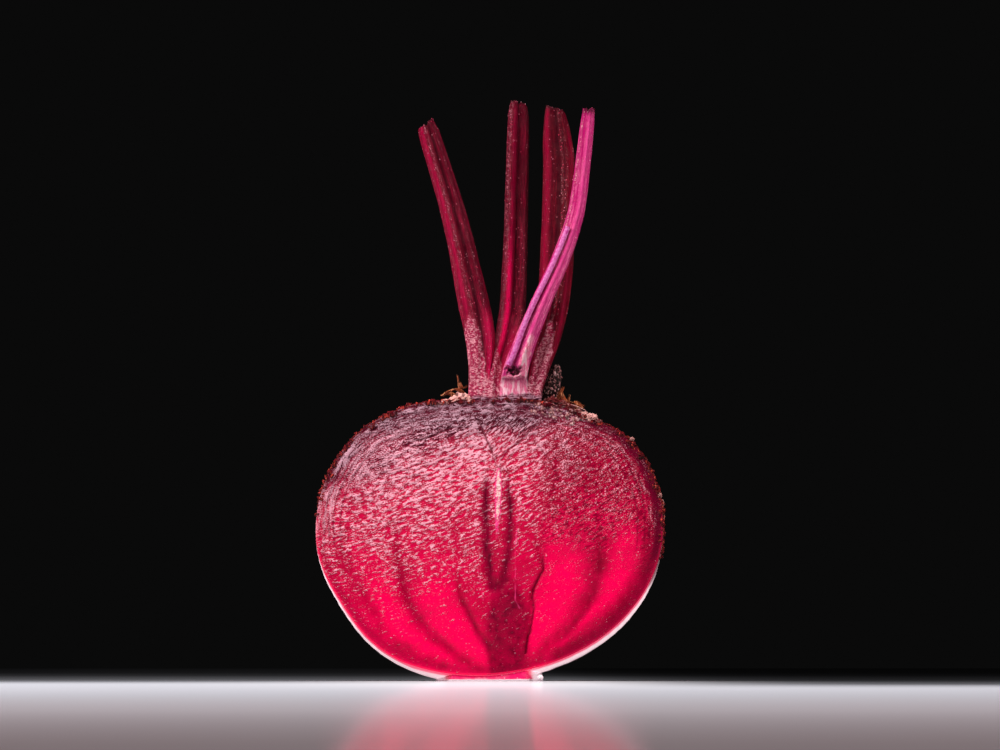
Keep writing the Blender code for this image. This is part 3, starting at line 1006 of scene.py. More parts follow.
class ScatterTree:
    """Geometry Nodes tree that strews small crumbs over the marked parts of a surface."""

    def __init__(self, name: str) -> None:
        """Builds the tree.

        Args:
            name: Name of the tree.
        """
        self.tree = bpy.data.node_groups.new(name, "GeometryNodeTree")
        self.declare()
        w = Wiring(self.tree)
        source = w.node("NodeGroupInput").outputs
        named = w.node("GeometryNodeInputNamedAttribute", {"Name": source["Where"]}, data_type="FLOAT")
        density = w.times(named.outputs[0], source["Per square metre"])
        spread = w.node(
            "GeometryNodeDistributePointsOnFaces",
            {"Mesh": source["Surface"], "Density": density, "Seed": source["Seed"]},
            distribute_method="RANDOM",
        )
        pick = w.node(
            "FunctionNodeRandomValue", {2: 0.0, 3: 1.0, 8: source["Seed"]}, data_type="FLOAT"
        ).outputs[1]
        cubed = w.math("POWER", pick, 2.2)
        size = w.blend(cubed, source["Smallest"], source["Largest"])
        scale = w.node(
            "ShaderNodeCombineXYZ",
            {0: w.times(size, source["Stretch"]), 1: size, 2: w.times(size, source["Flatness"])}
        )
        turn = w.node(
            "FunctionNodeRandomValue", {0: (-0.5, -0.5, -3.14), 1: (0.5, 0.5, 3.14), 8: 7},
            data_type="FLOAT_VECTOR"
        ).outputs[0]
        spin = w.node("ShaderNodeVectorMath", {0: turn, 1: source["Turn"]}, operation="MULTIPLY").outputs[0]
        rotated = w.node(
            "FunctionNodeRotateRotation", {0: spread.outputs["Rotation"], 1: spin}, rotation_space="LOCAL"
        )
        crumb = w.node("GeometryNodeMeshIcoSphere", {"Radius": 1.0, "Subdivisions": 1})
        strewn = w.node(
            "GeometryNodeInstanceOnPoints",
            {
                "Points": spread.outputs["Points"], "Instance": crumb.outputs[0],
                "Rotation": rotated.outputs[0], "Scale": scale.outputs[0]
            },
        )
        tone = w.node("FunctionNodeRandomValue", {2: 0.0, 3: 1.0, 8: 23}, data_type="FLOAT").outputs[1]
        toned = w.node(
            "GeometryNodeStoreNamedAttribute",
            {"Geometry": strewn.outputs[0], "Name": "tone", "Value": tone},
            data_type="FLOAT",
            domain="INSTANCE",
        )
        solid = w.node("GeometryNodeRealizeInstances", {0: toned.outputs[0]})
        soft = w.node("GeometryNodeSetShadeSmooth", {0: solid.outputs[0]})
        dressed = w.node(
            "GeometryNodeSetMaterial", {"Geometry": soft.outputs[0], "Material": source["Finish"]}
        )
        w.node("NodeGroupOutput", {0: dressed.outputs[0]})

    def declare(self) -> None:
        """Names the inputs and the output of the tree."""
        sockets = self.tree.interface
        sockets.new_socket("Crumbs", in_out="OUTPUT", socket_type="NodeSocketGeometry")
        for label, kind in (
            ("Surface", "Geometry"), ("Where", "String"), ("Per square metre", "Float"),
            ("Smallest", "Float"),
            ("Largest", "Float"), ("Stretch", "Float"), ("Flatness", "Float"), ("Turn", "Vector"),
            ("Seed", "Int"),
            ("Finish", "Material"),
        ):
            sockets.new_socket(label, in_out="INPUT", socket_type="NodeSocket" + kind)

    def strew(self, crumbs: Crumbs, surface: Piece, finish: Material) -> Piece:
        """Strews crumbs and keeps them as a plain mesh.

        Args:
            crumbs: Kind of crumbs.
            surface: Object whose surface carries them.
            finish: Material of the crumbs.

        Returns:
            The new piece.
        """
        return bake_tree(self.tree, crumbs.name, surface.data, {
            "Where": crumbs.mark, "Per square metre": crumbs.per_square_metre, "Smallest": crumbs.smallest,
            "Largest": crumbs.largest, "Stretch": crumbs.stretch, "Flatness": crumbs.flatness,
            "Turn": crumbs.turn, "Seed": crumbs.seed, "Finish": finish,
        })


class StrandTree:
    """Geometry Nodes tree that runs a beaded strand along a path."""

    def __init__(self) -> None:
        """Builds the tree."""
        self.tree = bpy.data.node_groups.new("beaded_strand", "GeometryNodeTree")
        sockets = self.tree.interface
        sockets.new_socket("Strand", in_out="OUTPUT", socket_type="NodeSocketGeometry")
        for label, kind in (
            ("Path", "Geometry"), ("Radius", "Float"), ("Taper", "Float"), ("Bead height", "Float"),
            ("Beads per metre", "Float"), ("Finish", "Material"),
        ):
            sockets.new_socket(label, in_out="INPUT", socket_type="NodeSocket" + kind)
        w = Wiring(self.tree)
        source = w.node("NodeGroupInput").outputs
        line = w.node("GeometryNodeMeshToCurve", {"Mesh": source["Path"]})
        share = w.node("GeometryNodeSplineParameter").outputs["Factor"]
        thin = w.minus(1.0, w.times(w.math("POWER", share, 2.0), source["Taper"]))
        ring = w.node("GeometryNodeCurvePrimitiveCircle", {"Resolution": 14, "Radius": source["Radius"]})
        tube = w.node(
            "GeometryNodeCurveToMesh",
            {"Curve": line.outputs[0], "Profile Curve": ring.outputs[0], "Scale": thin, "Fill Caps": True},
        )
        knots = w.noise(w.node("GeometryNodeInputPosition").outputs[0], source["Beads per metre"], 3.0, 0.6)
        lift = w.times(w.minus(knots, 0.5), source["Bead height"])
        push = w.node(
            "ShaderNodeVectorMath", {0: w.node("GeometryNodeInputNormal").outputs[0], "Scale": lift},
            operation="SCALE"
        )
        beaded = w.node("GeometryNodeSetPosition", {"Geometry": tube.outputs[0], "Offset": push.outputs[0]})
        toned = w.node(
            "GeometryNodeStoreNamedAttribute",
            {"Geometry": beaded.outputs[0], "Name": "tone", "Value": knots},
            data_type="FLOAT", domain="POINT",
        )
        solid = w.node("GeometryNodeRealizeInstances", {0: toned.outputs[0]})
        soft = w.node("GeometryNodeSetShadeSmooth", {0: solid.outputs[0]})
        dressed = w.node(
            "GeometryNodeSetMaterial", {"Geometry": soft.outputs[0], "Material": source["Finish"]}
        )
        w.node("NodeGroupOutput", {0: dressed.outputs[0]})

    def run(self, name: str, stations: Sequence[Place], steps: int, values: dict) -> Piece:
        """Runs one strand through its stations.

        Args:
            name: Name of the new piece.
            stations: Places along the path, in millimetres.
            steps: Number of steps along the path.
            values: Values of the named inputs.

        Returns:
            The new piece.
        """
        line = spline(np.array(stations, float), np.linspace(0.0, 1.0, steps + 1)) * MM
        mesh = bpy.data.meshes.new(name + "_path")
        mesh.from_pydata(line.tolist(), [(k, k + 1) for k in range(steps)], [])
        return bake_tree(self.tree, name, mesh, values)


@dataclass
class CrownCrust:
    """Lumpy corky crust at both ends of the crown's cut edge."""

    lumps: tuple[tuple[float, float, float, float, float, float, float], ...] = (
        (-5.3, -3.5, 60.6, 1.4, 1.3, 0.9, 0.62), (-7.2, -3.7, 60.2, 1.3, 1.2, 0.8, 0.75),
        (-9.0, -3.9, 59.7, 1.1, 1.0, 0.6, 0.55), (-10.6, -4.1, 59.3, 0.9, 0.9, 0.45, 0.30),
        (-6.2, -2.2, 61.4, 0.9, 0.9, 0.6, 0.45), (-4.2, -4.0, 60.4, 1.0, 0.9, 0.7, 0.8),
        (15.6, -3.6, 59.3, 1.3, 1.1, 0.8, 0.12), (17.2, -3.8, 58.6, 1.2, 1.0, 0.7, 0.08),
        (13.6, -3.6, 60.0, 1.2, 1.1, 0.8, 0.05), (19.0, -4.1, 57.7, 0.9, 0.9, 0.5, 0.35),
        (20.5, -4.3, 57.0, 0.9, 0.9, 0.6, 0.55), (21.9, -4.5, 56.4, 1.1, 1.0, 0.75, 0.62),
        (23.4, -4.7, 55.5, 0.8, 0.8, 0.40, 0.25), (30.7, -5.2, 51.7, 0.45, 0.5, 0.4, 0.45),
        (36.6, -6.2, 39.6, 0.4, 0.5, 0.5, 0.4),
    )

    def build(self, finish: Material) -> Piece:
        """Makes the crust.

        Args:
            finish: Corky material.

        Returns:
            The piece.
        """
        parts = []
        way, sides = ball(34, 20)
        for number, lump in enumerate(self.lumps):
            grain = Grain(300 + number)
            bumps = 1.0 + 0.55 * grain.layered(*(way.T * 2.9), octaves=3, gain=0.7)
            points = np.array(lump[:3]) + way * np.array(lump[3:6]) * bumps[:, None]
            parts.append((points, sides, lump[6] + 0.55 * grain.layered(*(way.T * 4.5), octaves=2)))
        return join_parts("crown_crust", parts, finish)


@dataclass
class CutPlane:
    """The knife's plane through the root."""

    y_at_foot: float = -10.0
    lean: float = math.radians(5.0)

    def y(self, z: Points) -> Points:
        """Depth of the plane at a height."""
        return self.y_at_foot + np.asarray(z, float) * math.tan(self.lean)

    @property
    def front(self) -> Points:
        """Direction out of the cut face."""
        return np.array([0.0, -math.cos(self.lean), math.sin(self.lean)])

    def ahead(self, points: Points) -> Points:
        """How far points lie in front of the plane."""
        return (self.y(points[:, 2]) - points[:, 1]) * math.cos(self.lean)


@dataclass
class HalfRoot:
    """The swollen root, cut lengthwise, as one closed skin with a flesh face."""

    plane: CutPlane
    half_width: float = 37.5
    half_depth: float = 31.0
    widest_z: float = 32.0
    lower_rise: float = 32.5
    upper_rise: float = 29.0
    shoulder_power: float = 2.5
    low_skew: float = 2.75
    low_skew_fade: float = 6.5
    swell: float = 0.011
    crown_x: float = 3.4
    crown_rise: float = 0.6
    crown_spread: float = 20.0
    centre: tuple[float, float] = (1.0, 31.0)
    columns: int = 296
    rows: int = 246
    rim_rows: int = 6
    rim_step: float = 0.012
    wrinkle_height: float = 0.22
    ray_reach: float = 60.0
    ray_halvings: int = 34
    arc_radius: float = 34.0
    rim_radius: float = 31.0
    scars: int = 16
    scar_radius: float = 28.0
    rim_arc_bands: tuple[tuple[float, float], ...] = ((1.8, 0.32), (2.8, 0.27), (3.8, 0.27), (5.3, 0.20))
    ring_paths: Strokes = (
        (
            0.65, 0.85,
            ((-6.6, 24.0), (-6.2, 20.0), (-5.1, 15.8), (-3.6, 12.9), (-0.9, 9.0), (0.0, 6.9), (0.4, 4.0))
        ),
        (
            1.30, 0.80,
            (
                (-20.5, 38.0), (-19.8, 30.0), (-18.7, 22.0), (-16.3, 15.5), (-13.5, 10.8), (-8.6, 6.9),
                (-4.6, 4.3), (-2.0, 2.6)
            )
        ),
        (
            1.50, 0.68,
            (
                (-31.0, 36.0), (-30.5, 28.0), (-28.0, 20.0), (-24.0, 14.2), (-22.3, 10.0), (-16.3, 5.9),
                (-9.8, 3.3)
            )
        ),
        (0.45, 0.85, (
            (10.3, 33.0), (10.7, 27.8), (11.7, 23.9), (11.2, 22.0), (9.4, 18.9), (8.9, 15.8), (8.9, 12.9),
            (8.3, 9.5), (7.6, 6.5), (6.8, 4.0),
        )),
        (1.40, 0.80, (
            (23.3, 36.0), (23.5, 28.0), (23.7, 25.7), (22.6, 20.0), (21.1, 16.3), (18.5, 13.2), (16.4, 10.3),
            (12.7, 7.5), (10.7, 4.8),
        )),
        (1.90, 0.85, (
            (29.0, 52.0), (33.5, 46.0), (35.5, 40.0), (34.9, 31.0), (35.0, 24.7), (32.7, 20.7), (30.1, 17.6),
            (26.3, 14.2), (22.4, 10.8), (18.5, 7.5), (14.9, 4.8),
        )),
    )
    # Paths of the painted glow: bands where table light shining up through the lower flesh is painted as
    # bright crimson.
    painted_glow_paths: Strokes = (
        (4.4, 1.00, ((-11.0, 24.0), (-11.5, 19.0), (-10.0, 13.5), (-7.0, 9.0), (-3.5, 5.5))),
        (3.9, 0.95, ((-26.0, 25.0), (-23.0, 18.0), (-20.0, 12.0), (-14.0, 7.5), (-9.0, 5.0))),
        (4.0, 1.00, ((15.0, 31.5), (16.3, 24.0), (15.2, 19.0), (13.0, 14.0), (10.8, 9.0))),
        (3.2, 1.00, ((29.0, 34.0), (29.3, 27.0), (27.5, 21.0), (24.0, 15.0), (17.0, 9.0))),
    )
    core_left: Table = ((3.0, 0.4), (8.0, -0.6), (14.0, -0.4), (20.0, 1.2))
    core_right: Table = ((3.0, 8.2), (8.0, 8.2), (14.0, 8.6), (20.0, 6.6), (26.0, 3.0))
    funnel_left: Table = ((45.0, 2.0), (50.0, 0.2), (56.0, -2.2), (62.0, -4.0))
    funnel_right: Table = ((45.0, 2.4), (51.0, 6.7), (56.3, 11.6), (62.0, 15.0))
    fade_left: Table = (
        (10.0, -0.60), (15.0, -0.36), (20.0, -0.02), (26.0, 0.22), (34.0, 0.40), (44.0, 0.66), (52.0, 0.74)
    )
    fade_right: Table = (
        (14.0, -0.62), (22.0, -0.46), (30.0, -0.25), (38.0, -0.04), (46.0, 0.11), (54.0, 0.32)
    )
    fade_middle: Table = (
        (16.0, -0.75), (24.0, -0.50), (30.0, -0.10), (36.0, 0.18), (44.0, 0.40), (52.0, 0.52)
    )
    crown_level: Table = ((-20.0, 0.72), (6.0, 0.71), (12.0, 0.40), (24.0, 0.12))
    slit_path: Table = ((2.15, 45.2), (2.05, 42.0), (1.9, 36.0), (1.7, 29.5))
    core_spots: Table = ((0.9, 13.8), (4.1, 15.1), (5.0, 10.3), (4.8, 6.7), (2.2, 9.0))
    pale_paths: tuple[Table, ...] = (
        ((7.3, 38.3), (6.1, 34.5), (5.7, 28.8), (5.65, 17.2), (6.6, 15.5)),
        ((-2.4, 24.1), (-1.7, 20.8), (-1.2, 17.2)),
    )
    # Grooves: shallow channels in the face, drawn dark with painted shade.
    groove_paths: Strokes = (
        (1.15, 1.0, ((-0.3, 44.5), (-0.55, 38.0), (-0.5, 33.0), (-0.3, 26.0), (0.9, 20.0))),
        (0.95, 0.9, ((3.9, 44.5), (4.5, 38.0), (4.6, 33.0), (4.2, 26.0), (2.4, 20.0))),
        (1.10, 0.85, ((0.2, 22.6), (1.6, 20.4), (3.4, 21.6))),
        (
            0.34, 0.75,
            ((11.0, 28.2), (11.8, 24.3), (9.5, 19.6), (9.5, 15.3), (9.1, 12.3), (8.2, 8.4), (7.8, 6.0))
        ),
        (0.75, 0.30, ((23.4, 29.6), (23.9, 24.7), (22.6, 18.3), (20.9, 14.8), (17.5, 11.0), (15.3, 8.4))),
        (0.70, 0.28, ((-20.0, 28.6), (-18.2, 20.9), (-16.5, 16.1), (-13.1, 11.4), (-7.5, 6.7))),
        (0.75, 0.42, ((-5.8, 18.3), (-3.6, 13.1), (-2.3, 10.1), (0.2, 6.7))),
        (0.26, 0.45, ((2.3, 46.5), (4.0, 48.8), (6.7, 51.2), (9.6, 54.4))),
        (0.28, 0.5, ((2.0, 46.5), (0.2, 50.0), (-2.2, 55.8))),
        (0.22, 0.4, ((9.7, 51.5), (12.0, 48.4), (14.5, 44.5))),
        (0.20, 0.6, ((-16.5, 51.0), (-12.0, 52.4), (-8.6, 54.0), (-6.0, 54.2))),
    )
    front_squareness: tuple[Place, ...] = (
        (6.0, 0.45, 0.02), (11.0, 0.42, 0.10), (15.0, 0.35, 0.12), (22.0, 0.50, 0.38), (30.0, 0.75, 0.70),
        (45.0, 0.75, 0.75), (60.0, 0.7, 0.7),
    )
    outline_trim: tuple[tuple[float, float], ...] = (
        (-12.0, 0.0), (10.0, 0.0), (18.0, 0.55), (25.0, 0.60), (32.0, 0.72), (39.0, 0.75), (48.0, 1.5),
        (54.0, 1.5), (62.0, 1.1), (75.0, 1.15), (100.0, 1.25), (110.0, 1.15), (114.0, 0.75), (122.0, 0.55),
        (131.0, 0.75), (142.0, 1.0), (148.0, 1.25), (154.0, 1.45), (160.0, 1.2), (168.0, 0.75), (176.0, 0.4),
        (186.0, 0.35), (194.0, 0.55), (202.0, 0.75), (210.0, 0.55), (219.0, 0.15), (226.0, 0.0),
    )

    @property
    def middle(self) -> Points:
        """Middle of the cut face."""
        return np.array([self.centre[0], float(self.plane.y(self.centre[1])), self.centre[1]])

    def spread(self, x: Points, y: Points, z: Points) -> Points:
        """Gives the root's half width at a height, as a share of the widest.

        Args:
            x: Sideways places.
            y: Depths.
            z: Heights.

        Returns:
            Shares from 0 to 1.
        """
        above = np.clip((z - self.widest_z) / self.upper_rise, 0.0, 1.0)
        crown = np.exp(-((np.hypot(x - self.crown_x, y) / self.crown_spread) ** 2))
        height = z - self.crown_rise * crown * above**1.25
        low = np.clip((self.widest_z - height) / self.lower_rise, 0.0, 1.0)
        high = np.clip((height - self.widest_z) / self.upper_rise, 0.0, 1.0)
        shoulder = (1.0 - high**self.shoulder_power) ** (1.0 / self.shoulder_power)
        return np.where(height < self.widest_z, np.sqrt(1.0 - low**2), shoulder)

    def level(self, x: Points, y: Points, z: Points) -> Points:
        """Tells inside from outside of the whole root.

        Args:
            x: Sideways places.
            y: Depths.
            z: Heights.

        Returns:
            Below zero inside, above zero outside.
        """
        spread = self.spread(x, y, z)
        straight = (x + self.low_skew * np.exp(-np.maximum(z, 0.0) / self.low_skew_fade)) / self.half_width
        deep = y / self.half_depth
        around = np.arctan2(deep, straight)
        swell = 1.0 + self.swell * np.sin(around) * np.sin(3.0 * around + 0.7) * spread
        return np.maximum(np.hypot(straight, deep) / swell - spread, -z / 20.0)

    def underside(self, x: Points, y: Points) -> Points:
        """Gives the height of the root's lower surface above the table.

        Args:
            x: Sideways places.
            y: Depths.

        Returns:
            Heights in millimetres.
        """
        z = np.full(np.shape(x), 2.0)
        for _ in range(4):
            straight = (x + self.low_skew * np.exp(-z / self.low_skew_fade)) / self.half_width
            reach = np.minimum(np.hypot(straight, y / self.half_depth), 0.95)
            z = self.widest_z - self.lower_rise * np.sqrt(1.0 - reach**2)
        return z

    def fit_outline(self, points: Points, rim_angles: Points, rim_reach: Points) -> Points:
        """Squares up the front, so that little skin shows beside the cut face, and trims the outline.

        Args:
            points: Places on the even root.
            rim_angles: Directions of the rim from the middle of the face, rising.
            rim_reach: Distance of the rim from the middle in each direction.

        Returns:
            The moved places.
        """
        x, y, z = points.T
        spread = np.maximum(self.spread(x, y, z), 0.05)
        ahead = np.minimum(y, 0.0) / self.half_depth
        bulge = spread / np.sqrt(np.maximum(spread**2 - ahead**2, (0.8 * spread) ** 2))
        heights, left, right = np.array(self.front_squareness).T
        square = np.interp(z, heights, left) + smooth(x, -4.0, 4.0) * np.interp(z, heights, right - left)
        middle = -self.low_skew * np.exp(-np.maximum(z, 0.0) / self.low_skew_fade)
        x = middle + (x - middle) * (1.0 + square * (bulge - 1.0))
        across, up = x - self.centre[0], z - self.centre[1]
        angle = np.arctan2(up, across)
        degrees = np.where(angle < math.radians(-100.0), angle + TURN, angle) * 180.0 / math.pi
        turns, trims = np.array(self.outline_trim).T
        reach = np.interp(angle, rim_angles, rim_reach, period=TURN)
        share = np.clip(np.hypot(across, up) / reach, 0.0, 1.05)
        keep = 1.0 - np.interp(degrees, turns, trims) / reach * share**2
        return np.stack([self.centre[0] + across * keep, y, self.centre[1] + up * keep], 1)

    def cast(self, ways: Points) -> Points:
        """Finds where rays from the middle of the cut face leave the root.

        Args:
            ways: Unit directions, one row each.

        Returns:
            Places on the surface.
        """
        start = self.middle
        near = np.zeros(len(ways))
        far = np.full(len(ways), self.ray_reach)
        for _ in range(self.ray_halvings):
            middle = 0.5 * (near + far)
            spots = start + ways * middle[:, None]
            inside = self.level(spots[:, 0], spots[:, 1], spots[:, 2]) < 0.0
            near = np.where(inside, middle, near)
            far = np.where(inside, far, middle)
        return start + ways * near[:, None]

    def ways(self, across: Points, up: Points, share: Points) -> Points:
        """Turns disc places into ray directions.

        Args:
            across: Sideways part of each direction in the cut face.
            up: Upward part of each direction in the cut face.
            share: 0 straight back, 1 within the cut face.

        Returns:
            Unit directions.
        """
        length = np.maximum(np.hypot(across, up), 1e-9)
        turn = share * math.pi / 2.0
        lean = self.plane.lean
        sideways = np.stack([across / length, up / length * math.sin(lean), up / length * math.cos(lean)], 1)
        return sideways * np.sin(turn)[:, None] - self.plane.front * np.cos(turn)[:, None]

    @staticmethod
    def grid(columns: int, rows: int) -> tuple[Points, Points, Points, Points]:
        """Lays a square grid onto a disc.

        Args:
            columns: Cells across.
            rows: Cells up.

        Returns:
            Sideways and upward disc places, quads, and the border's corner numbers.
        """
        u, v = np.meshgrid(np.linspace(-1.0, 1.0, columns + 1), np.linspace(-1.0, 1.0, rows + 1))
        quads, border = sheet_faces(rows + 1, columns + 1)
        across = (u * np.sqrt(1.0 - v * v / 2.0)).ravel()
        up = (v * np.sqrt(1.0 - u * u / 2.0)).ravel()
        return across, up, quads, border

    @staticmethod
    def flow(x: Points, z: Points, in_funnel: Points) -> tuple[Points, Points]:
        """Gives places along and across the folds of the dried face, in millimetres.

        Args:
            x: Sideways places.
            z: Heights.
            in_funnel: 1 in the funnel below the crown, else 0.

        Returns:
            Places along and across the folds.
        """
        along = np.where(in_funnel > 0.5, x + 0.7 * z + 40.0, x + 0.35 * z)
        across = np.where(in_funnel > 0.5, z - 0.78 * x + 40.0, z - 0.41 * x - 0.0028 * x * x)
        return along, across

    def lines(self, x: Points, z: Points, edge: Points, angle: Points) -> dict[str, Points]:
        """Draws the rings, the painted glow of light through the flesh, slit, dark bands and core of the cut
        face.

        Args:
            x: Sideways places.
            z: Heights.
            edge: Distance from the rim.
            angle: Direction from the middle of the face.

        Returns:
            Values by name: painted_glow, ring, slit, pale_lines, dark, groove, core, edge.
        """
        sway_x = x + 0.7 * Grain(47).layered(x / 6.0, z / 6.0, octaves=2)
        sway_z = z + 0.7 * Grain(48).layered(x / 6.0, z / 6.0, octaves=2)
        rings, painted_glow = np.zeros_like(x), np.zeros_like(x)
        for half, strength, path in self.ring_paths:
            gap, run = path_distance(sway_x, sway_z, curve(path, 30))
            line = strength * bell(gap, 0.0, half) * smooth(run, 0.0, 0.22)
            rings = np.maximum(rings, line)
        patchy = 0.80 + 0.45 * Grain(46).layered(x / 1.9, z / 4.0, octaves=3)
        rings = np.clip(rings * patchy, 0.0, 1.0)
        # painted glow of table light through the flesh, spread along its paths and weakened near the lower
        # right rim
        for half, strength, path in self.painted_glow_paths:
            gap, run = path_distance(sway_x, sway_z, curve(path, 24))
            area = strength * smooth(gap, 1.7 * half, 0.15 * half) * smooth(run, -0.15, 0.42)
            painted_glow = np.maximum(painted_glow, area)
        painted_glow = painted_glow * (1.0 - 0.70 * smooth(edge, 5.6, 3.0) * smooth(x, 10.0, 19.0))
        painted_glow = np.clip(painted_glow * (1.0 + 0.22 * Grain(37).layered(x / 3.0, z / 4.0, octaves=2)), 0.0, 1.0)

        wobble = 0.16 * Grain(39).layered(z / 1.3, x / 3.0, octaves=3)
        slit_gap, slit_run = path_distance(x + wobble, z, self.slit_path)
        slit_half = (0.12 + 0.34 * bell(slit_run, 0.34, 0.32)) * smooth(slit_run, -0.04, 0.10)
        slit = (
            smooth(slit_gap, slit_half + 0.50, slit_half - 0.12) * (1.0 - 0.9 * smooth(slit_run, 0.55, 1.0))
        )
        slit = slit * (0.82 + 0.45 * Grain(39).layered(x / 0.5, z / 0.8, octaves=2))
        groove = np.zeros_like(x)
        bend_x, bend_z = (
            Grain(50).layered(x / 1.7, z / 1.7, octaves=2), Grain(58).layered(x / 1.7, z / 1.7, octaves=2)
        )
        # grooves are shallow real channels, darkened further with painted shade
        for half, strength, path in self.groove_paths:
            gap, run = path_distance(x + 0.3 * bend_x, z + 0.3 * bend_z, curve(path, 16))
            line = (
                strength * bell(gap, 0.0, half * (0.45 + 0.55 * smooth(run, -0.05, 0.25)))
                * smooth(run, -0.08, 0.20)
            )
            groove = np.maximum(groove, line)
        dark = groove * (0.88 + 0.30 * Grain(40).layered(x / 0.7, z / 3.0, octaves=2))
        for spot_x, spot_z in self.core_spots:
            dark = np.maximum(dark, 0.7 * bell(np.hypot(x - spot_x, (z - spot_z) * 1.3), 0.0, 0.70))
        rim_arcs = np.zeros_like(x)
        wander = edge + 0.22 * Grain(41).at(angle * 6.0, z / 9.0)
        broken = 0.75 + 0.6 * Grain(42).at(angle * 25.0, edge / 2.0)
        for away, reach in self.rim_arc_bands:
            rim_arcs = np.maximum(rim_arcs, bell(wander, away, reach) * broken * smooth(z, 24.0, 34.0))
        dark = np.maximum(dark, 0.85 * np.clip(rim_arcs, 0.0, 1.0))
        fringe = (
            smooth(edge + 0.35 * Grain(62).at(angle * 30.0, z / 3.0), 0.95, 0.45)
            * smooth(z + 0.12 * x, 30.0, 42.0)
        )
        dark = np.maximum(dark, fringe)
        right_rim = smooth(x, 14.0, 24.0) * smooth(z, 21.0, 28.0)
        dark = np.maximum(dark, right_rim * smooth(edge, 2.9, 1.2))
        pale_lines = np.zeros_like(x)
        for path in self.pale_paths:
            gap, run = path_distance(x, z, path)
            pale_lines = np.maximum(
                pale_lines, bell(gap, 0.0, 0.17) * (0.45 + 0.45 * Grain(43).at(run * 14.0, gap))
            )
        core_left = lookup(z, self.core_left)
        core_right = lookup(z, self.core_right)
        core = 1.0 / (1.0 + np.exp(-(x - core_left) / 0.4)) / (1.0 + np.exp(-(core_right - x) / 0.4))
        core = core * smooth(z, 27.0, 18.0) * (0.88 + 0.25 * Grain(44).layered(x / 1.6, z / 2.4, octaves=3))
        low = smooth(z, 40.0, 26.0)
        dark = np.maximum(dark, 0.30 * bell(edge, 1.25, 0.75) * low)
        outer_right = smooth(x, 8.0, 18.0) * low
        dark = np.maximum(dark, 0.60 * outer_right * smooth(edge, 3.8, 1.2))
        return {
            "painted_glow": painted_glow * (1.0 - core), "ring": rings, "slit": np.clip(slit, 0.0, 1.0),
            "pale_lines": pale_lines,
            "dark": np.clip(dark, 0.0, 1.0), "groove": groove, "core": np.clip(core, 0.0, 0.95),
            "edge": bell(edge, 0.16, 0.16) * low * (1.0 - 0.75 * outer_right),
        }

    def relief(self, x: Points, z: Points, edge: Points, angle: Points) -> dict[str, Points]:
        """Works out the height and the colour zones of the cut face.

        Args:
            x: Sideways places.
            z: Heights.
            edge: Distance from the rim.
            angle: Direction from the middle of the face.

        Returns:
            Values by name: height, crest, pale, painted_glow, ring, grey, slit, dark, edge, core and specks,
                the places along, across and arc that the folds follow, and the shares fine_share and
                rim_share.
        """
        marks = self.lines(x, z, edge, angle)
        shoulder = smooth(edge, 4.6, 2.4) * smooth(z, 26.0, 36.0)
        crown = smooth(z, 52.5, 55.5)
        funnel_left = lookup(z, self.funnel_left)
        funnel_right = lookup(z, self.funnel_right)
        in_funnel = (
            smooth(x - funnel_left, -0.4, 0.4) * smooth(funnel_right - x, -0.4, 0.4) * smooth(z, 44.5, 46.5)
        )
        right_side = smooth(x, 8.0, 15.0) * (1.0 - in_funnel)
        upper_left = (
            smooth(x, -3.0, -13.0) * smooth(edge, 2.6, 4.0) * smooth(edge, 13.0, 8.0) * smooth(z, 38.0, 45.0)
        )
        along, across = self.flow(x, z, in_funnel)
        warp = 0.6 * Grain(30).layered(along / 7.0, across / 5.0, octaves=2)
        folds = Grain(31).layered(along / 1.5, (across + warp) / 0.66, octaves=1)
        arc = np.where(angle < -0.5 * math.pi, angle + TURN, angle) * self.arc_radius
        sway = 0.35 * Grain(35).at(arc / 8.0, edge / 3.0)
        rim_folds = Grain(33).layered(arc / (3.6 - 1.6 * crown), (edge + sway) / 0.70, octaves=1)
        swirl = 0.75 * smooth(edge, 11.0, 5.0) * smooth(z, 34.0, 46.0) * smooth(x, 2.0, -10.0)
        rim_share = np.maximum(np.maximum(shoulder, swirl), 0.6 * crown * (1.0 - in_funnel))
        crest = 0.5 + 1.15 * (folds + (rim_folds - folds) * rim_share)

        # pale sets how far the crests lighten: dried film, and a painted highlight on the crests
        fade_left = lookup(z + 0.10 * x, self.fade_left)
        fade_left = (
            fade_left - 0.26 * smooth(x, -20.0, -9.0) * smooth(z, 34.0, 24.0) - 0.10 * smooth(z, 24.0, 16.0)
        )
        fade_right = lookup(z - 0.10 * x, self.fade_right)
        fade_middle = lookup(z, self.fade_middle)
        pale = fade_left + (fade_middle - fade_left) * smooth(x, 0.0, 4.0)
        pale = pale + (fade_right - pale) * right_side
        pale = pale + (0.72 - pale) * shoulder * smooth(x, 6.0, -6.0)
        band = smooth(edge, 3.0, 2.2) * smooth(x, 4.0, -8.0) * smooth(z, 34.0, 46.0)
        pale = pale + 0.06 * band
        crown_level = lookup(x, self.crown_level)
        pale = pale + (crown_level - pale) * crown * 0.8
        pale = pale + 0.16 * Grain(36).layered(x / 5.0, z / 4.0, octaves=3)
        pale = pale - 0.26 * bell(np.hypot((x + 5.5) / 5.5, (z - 37.0 - 0.3 * x) / 6.0), 0.0, 1.0)
        pale = (
            pale - 0.55 * np.clip(marks["groove"], 0.0, 1.0) - 0.35 * marks["ring"] * smooth(z, 34.0, 24.0)
            - 0.25 * marks["core"]
        )

